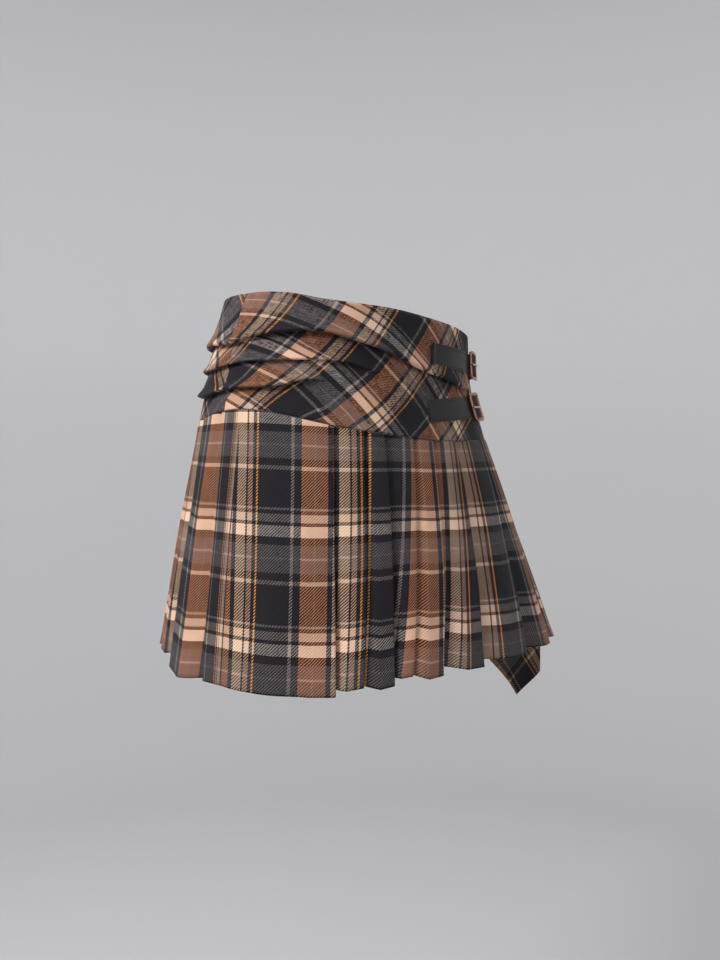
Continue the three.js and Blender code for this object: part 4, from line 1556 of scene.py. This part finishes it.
    def build_buckle(self) -> None:
        """The rounded rectangular frame, with its centre bar."""
        half_x, half_y = (h - self.bar / 2 for h in self.frame_half)
        loop = superellipse(half_x, half_y, self.squareness, self.frame_points)
        step = np.roll(loop, -1, axis=0) - np.roll(loop, 1, axis=0)
        step /= np.linalg.norm(step, axis=1, keepdims=True)
        ring = superellipse(self.bar / 2, self.bar_thick / 2, 3.2, 20)
        along = loop[:, :1] + step[:, 1:] * ring[None, :, 0]
        across = loop[:, 1:] - step[:, :1] * ring[None, :, 0]
        points = self.bend(along, across, self.frame_lift(along) + ring[None, :, 1])
        quads = grid_faces(*points.shape[:2], wrap_rows=True, wrap_columns=True)
        buckle = f"buckle_{self.place.name}"
        piece = put_triangles(f"{buckle}_frame", points.reshape(-1, 3), quads,
                              np.empty((0, 3), int))
        self.dress(piece, self.finishes.copper, buckle)
        y = np.linspace(-half_y, half_y, 30)
        lift = self.rod_lift + self.rod_end_rise * ease((np.abs(y) - self.rod_straight) / self.rod_bend)
        rod = superellipse(*self.rod, 2.0, 16)
        points = self.bend(rod[None, :, 0] + 0 * y[:, None], y[:, None] + 0 * rod[None, :, 0],
                           lift[:, None] + rod[None, :, 1])
        self.dress(capped_sweep(f"{buckle}_bar", points), self.finishes.copper)

    def build_prong(self) -> None:
        """The silver prong: up from the centre bar, along over the frame, to a raised tip."""
        rows = np.arange(len(self.pin))
        fine = np.linspace(0, len(self.pin) - 1, 60)
        along, lift, size = (smooth_table(rows, column, fine) for column in zip(*self.pin))
        ring = superellipse(1.0, 0.8, 2.4, 14)[None] * size[:, None, None]
        step = unit_steps(np.stack([along, lift], axis=-1))
        points = self.bend(along[:, None] - step[:, 1:] * ring[..., 1], ring[..., 0],
                           lift[:, None] + step[:, :1] * ring[..., 1])
        self.dress(capped_sweep(f"prong_{self.place.name}_pin", points), self.finishes.silver,
                   f"prong_{self.place.name}")

    def build_stitches(self) -> None:
        """Short thread stitches along the strap's edges and across its sewn end.

        Each stitch is a small capsule: its radius is the thread's times the root of 1 - w^4
        along its length.
        """
        edge = np.arange(-self.length + self.stitches_from, self.stitches_to, self.stitch_gap)
        end = np.arange(-self.half + self.end_stitches_from, self.half - self.stitches_from,
                        self.stitch_gap)
        side = self.half - self.stitch_inset
        rows = ((edge, np.full_like(edge, -side), False), (edge, np.full_like(edge, side), False),
                (np.full_like(end, -self.length + self.stitch_inset), end, True))
        w = np.linspace(-1, 1, 7)
        around = np.arange(8) * np.pi / 4
        size = self.stitch_radius * np.sqrt(np.clip(1 - w**4, 0.02, 1))
        cross = size[:, None] * np.cos(around)
        rise = size[:, None] * np.sin(around)
        run = np.broadcast_to(w[:, None] * self.stitch_length / 2, cross.shape)
        stitches = []
        for places, sides, turned in rows:
            x = places[:, None, None] + (cross if turned else run)
            y = sides[:, None, None] + (run if turned else cross)
            lift = self.lift(x) + self.thick + self.stitch_lift + rise
            stitches.append(self.bend(x, y, lift))
        points = np.concatenate(stitches)
        faces = grid_faces(len(w), len(around), wrap_columns=True)
        starts = np.arange(len(points))[:, None, None] * cross.size
        piece = put_mesh(f"strap_{self.place.name}_stitches", points,
                         (faces[None] + starts).reshape(-1, 4))
        self.dress(piece, self.finishes.thread)

    def build(self) -> None:
        """Make every piece of the strap."""
        self.build_strap()
        self.build_chape()
        self.build_buckle()
        self.build_prong()
        self.build_stitches()


@dataclass(frozen=True)
class Lamp:
    """A square soft light: metres to the picture's right, up and near, its size and its watts."""

    name: str
    side: float
    up: float
    near: float
    size: float
    power: float


@dataclass
class Studio:
    """Plain pale floor that sweeps up into a backdrop, soft lights and the camera."""

    camera_azimuth: float = -48.0
    distance: float = 1.0
    camera_height: float = -0.121
    aim_right: float = 0.01045
    aim_height: float = -0.1495
    lens: float = 39.5
    floor: float = -0.95
    wall: float = 2.4
    bend: float = 0.9
    grey: tuple[float, float, float, float] = (0.61, 0.61, 0.617, 1.0)
    # Painted shade: the floor is painted darker than the wall.
    floor_shade_grey: tuple[float, float, float, float] = (0.505, 0.505, 0.511, 1.0)
    lamps: tuple[Lamp, ...] = (Lamp("key", -1.4, 1.1, 1.15, 0.9, 53),
                               Lamp("fill", 1.5, 0.3, 1.0, 1.4, 7),
                               Lamp("top", 0.0, 1.9, -0.2, 1.6, 25))
    lamp_aim: tuple[float, float, float] = (0.0, 0.0, -0.15)
    sky: tuple[float, float, float, float] = (0.9, 0.93, 1.0, 1.0)
    sky_strength: float = 0.22
    sensor: float = 36.0
    sees_to: float = 20.0
    hole: float = 0.0005
    level_to: float = 0.7
    wall_top: float = 4.5
    floor_shade_rise: float = 0.8
    grey_cloud: float = 0.2

    def directions(self) -> tuple[np.ndarray, np.ndarray]:
        """Level directions towards the camera and to the picture's right."""
        a = math.radians(self.camera_azimuth)
        return np.array([math.sin(a), -math.cos(a), 0]), np.array([math.cos(a), math.sin(a), 0])

    @staticmethod
    def put(piece: bpy.types.Object, place: np.ndarray, aim: np.ndarray) -> None:
        """Put a camera or light at a place, turned to look at a point.

        Args:
            piece: The camera or light.
            place: Where it stands, in metres.
            aim: The point that it looks at.
        """
        look = aim - place
        piece.location = place
        piece.rotation_euler = (
            math.atan2(math.hypot(look[0], look[1]), -look[2]), 0, math.atan2(-look[0], look[1]))
        bpy.context.scene.collection.objects.link(piece)

    def build_camera(self) -> None:
        """Camera at the photograph's height and angle."""
        towards, right = self.directions()
        camera = bpy.data.objects.new("camera", bpy.data.cameras.new("camera"))
        camera.data.lens = self.lens
        camera.data.sensor_width = self.sensor
        camera.data.clip_end = self.sees_to
        place = towards * self.distance
        place[2] = self.camera_height
        aim = right * self.aim_right
        aim[2] = self.aim_height
        self.put(camera, place, aim)
        bpy.context.scene.camera = camera

    def build_sweep(self) -> None:
        """Floor and wall as one sheet: flat, then a quarter round, then upright, all round."""
        a = np.linspace(0, np.pi / 2, 24)
        curve = self.wall - self.bend + self.bend * np.sin(a)
        radius = np.concatenate([[self.hole, self.level_to], curve, [self.wall]])
        rise = np.concatenate([[0, 0], self.bend * (1 - np.cos(a)), [self.wall_top]])
        height = rise + self.floor
        turn = np.linspace(0, 2 * np.pi, 97)[:-1]
        points = np.stack([radius[:, None] * np.cos(turn), radius[:, None] * np.sin(turn),
                           np.broadcast_to(height[:, None], (len(radius), len(turn)))], axis=-1)
        faces = grid_faces(len(radius), len(turn), wrap_columns=True)[:, ::-1]
        sweep = put_mesh("studio_sweep", points / MM, faces)
        material, t, shader = new_material("pale studio paper")
        shader.inputs["Roughness"].default_value = 0.95
        coords = t.add("ShaderNodeTexCoord")
        split = t.add("ShaderNodeSeparateXYZ")
        t.join(coords.outputs["Object"], split.inputs[0])
        # Painted shade: the paper is darkest on the floor and lightens up the wall, over a random cloudy
        # tone.
        high = t.math("MULTIPLY_ADD", split.outputs[2], self.floor_shade_rise,
                      -self.floor_shade_rise * self.floor)
        cloud = t.math("MULTIPLY_ADD", t.noise(coords.outputs["Object"], 0.7, 1.0),
                       self.grey_cloud, high)
        cloud.node.use_clamp = True
        t.join(t.blend("MIX", cloud, self.floor_shade_grey, self.grey), shader.inputs["Base Color"])
        sweep.data.materials.append(material)

    def build_lamp(self, lamp: Lamp) -> None:
        """Put up one light, aimed at the skirt.

        Args:
            lamp: The light's place, size and power.
        """
        towards, right = self.directions()
        data = bpy.data.lights.new(lamp.name, "AREA")
        data.size = lamp.size
        data.energy = lamp.power
        place = right * lamp.side + towards * lamp.near + np.array([0, 0, lamp.up])
        self.put(bpy.data.objects.new(lamp.name, data), place, np.array(self.lamp_aim))

    def build(self) -> None:
        """Make the camera, the sweep, the lights and an even sky."""
        self.build_camera()
        self.build_sweep()
        for lamp in self.lamps:
            self.build_lamp(lamp)
        world = bpy.data.worlds.new("studio air")
        world.use_nodes = True
        sky = world.node_tree.nodes["Background"]
        sky.inputs[0].default_value = self.sky
        sky.inputs[1].default_value = self.sky_strength
        bpy.context.scene.world = world
        bpy.context.scene.view_settings.view_transform = "Standard"


STRAP_PLACES = (StrapPlace("upper", (-91.0, -36.1), (-51.0, -40.3)),
                StrapPlace("lower", (-95.5, -87.1), (-60.0, -80.4)))


def main() -> None:
    """Build the studio and every piece of the skirt."""
    logging.basicConfig(level=logging.INFO, format="%(message)s")
    Studio().build()
    finishes = Finishes()
    yoke = TuckedYoke(finishes)
    yoke.build()
    PleatedSkirt(finishes).build()
    SideTail(finishes).build()
    for place in STRAP_PLACES:
        BuckledStrap(place, yoke, finishes).build()


if __name__ == "__main__":
    main()
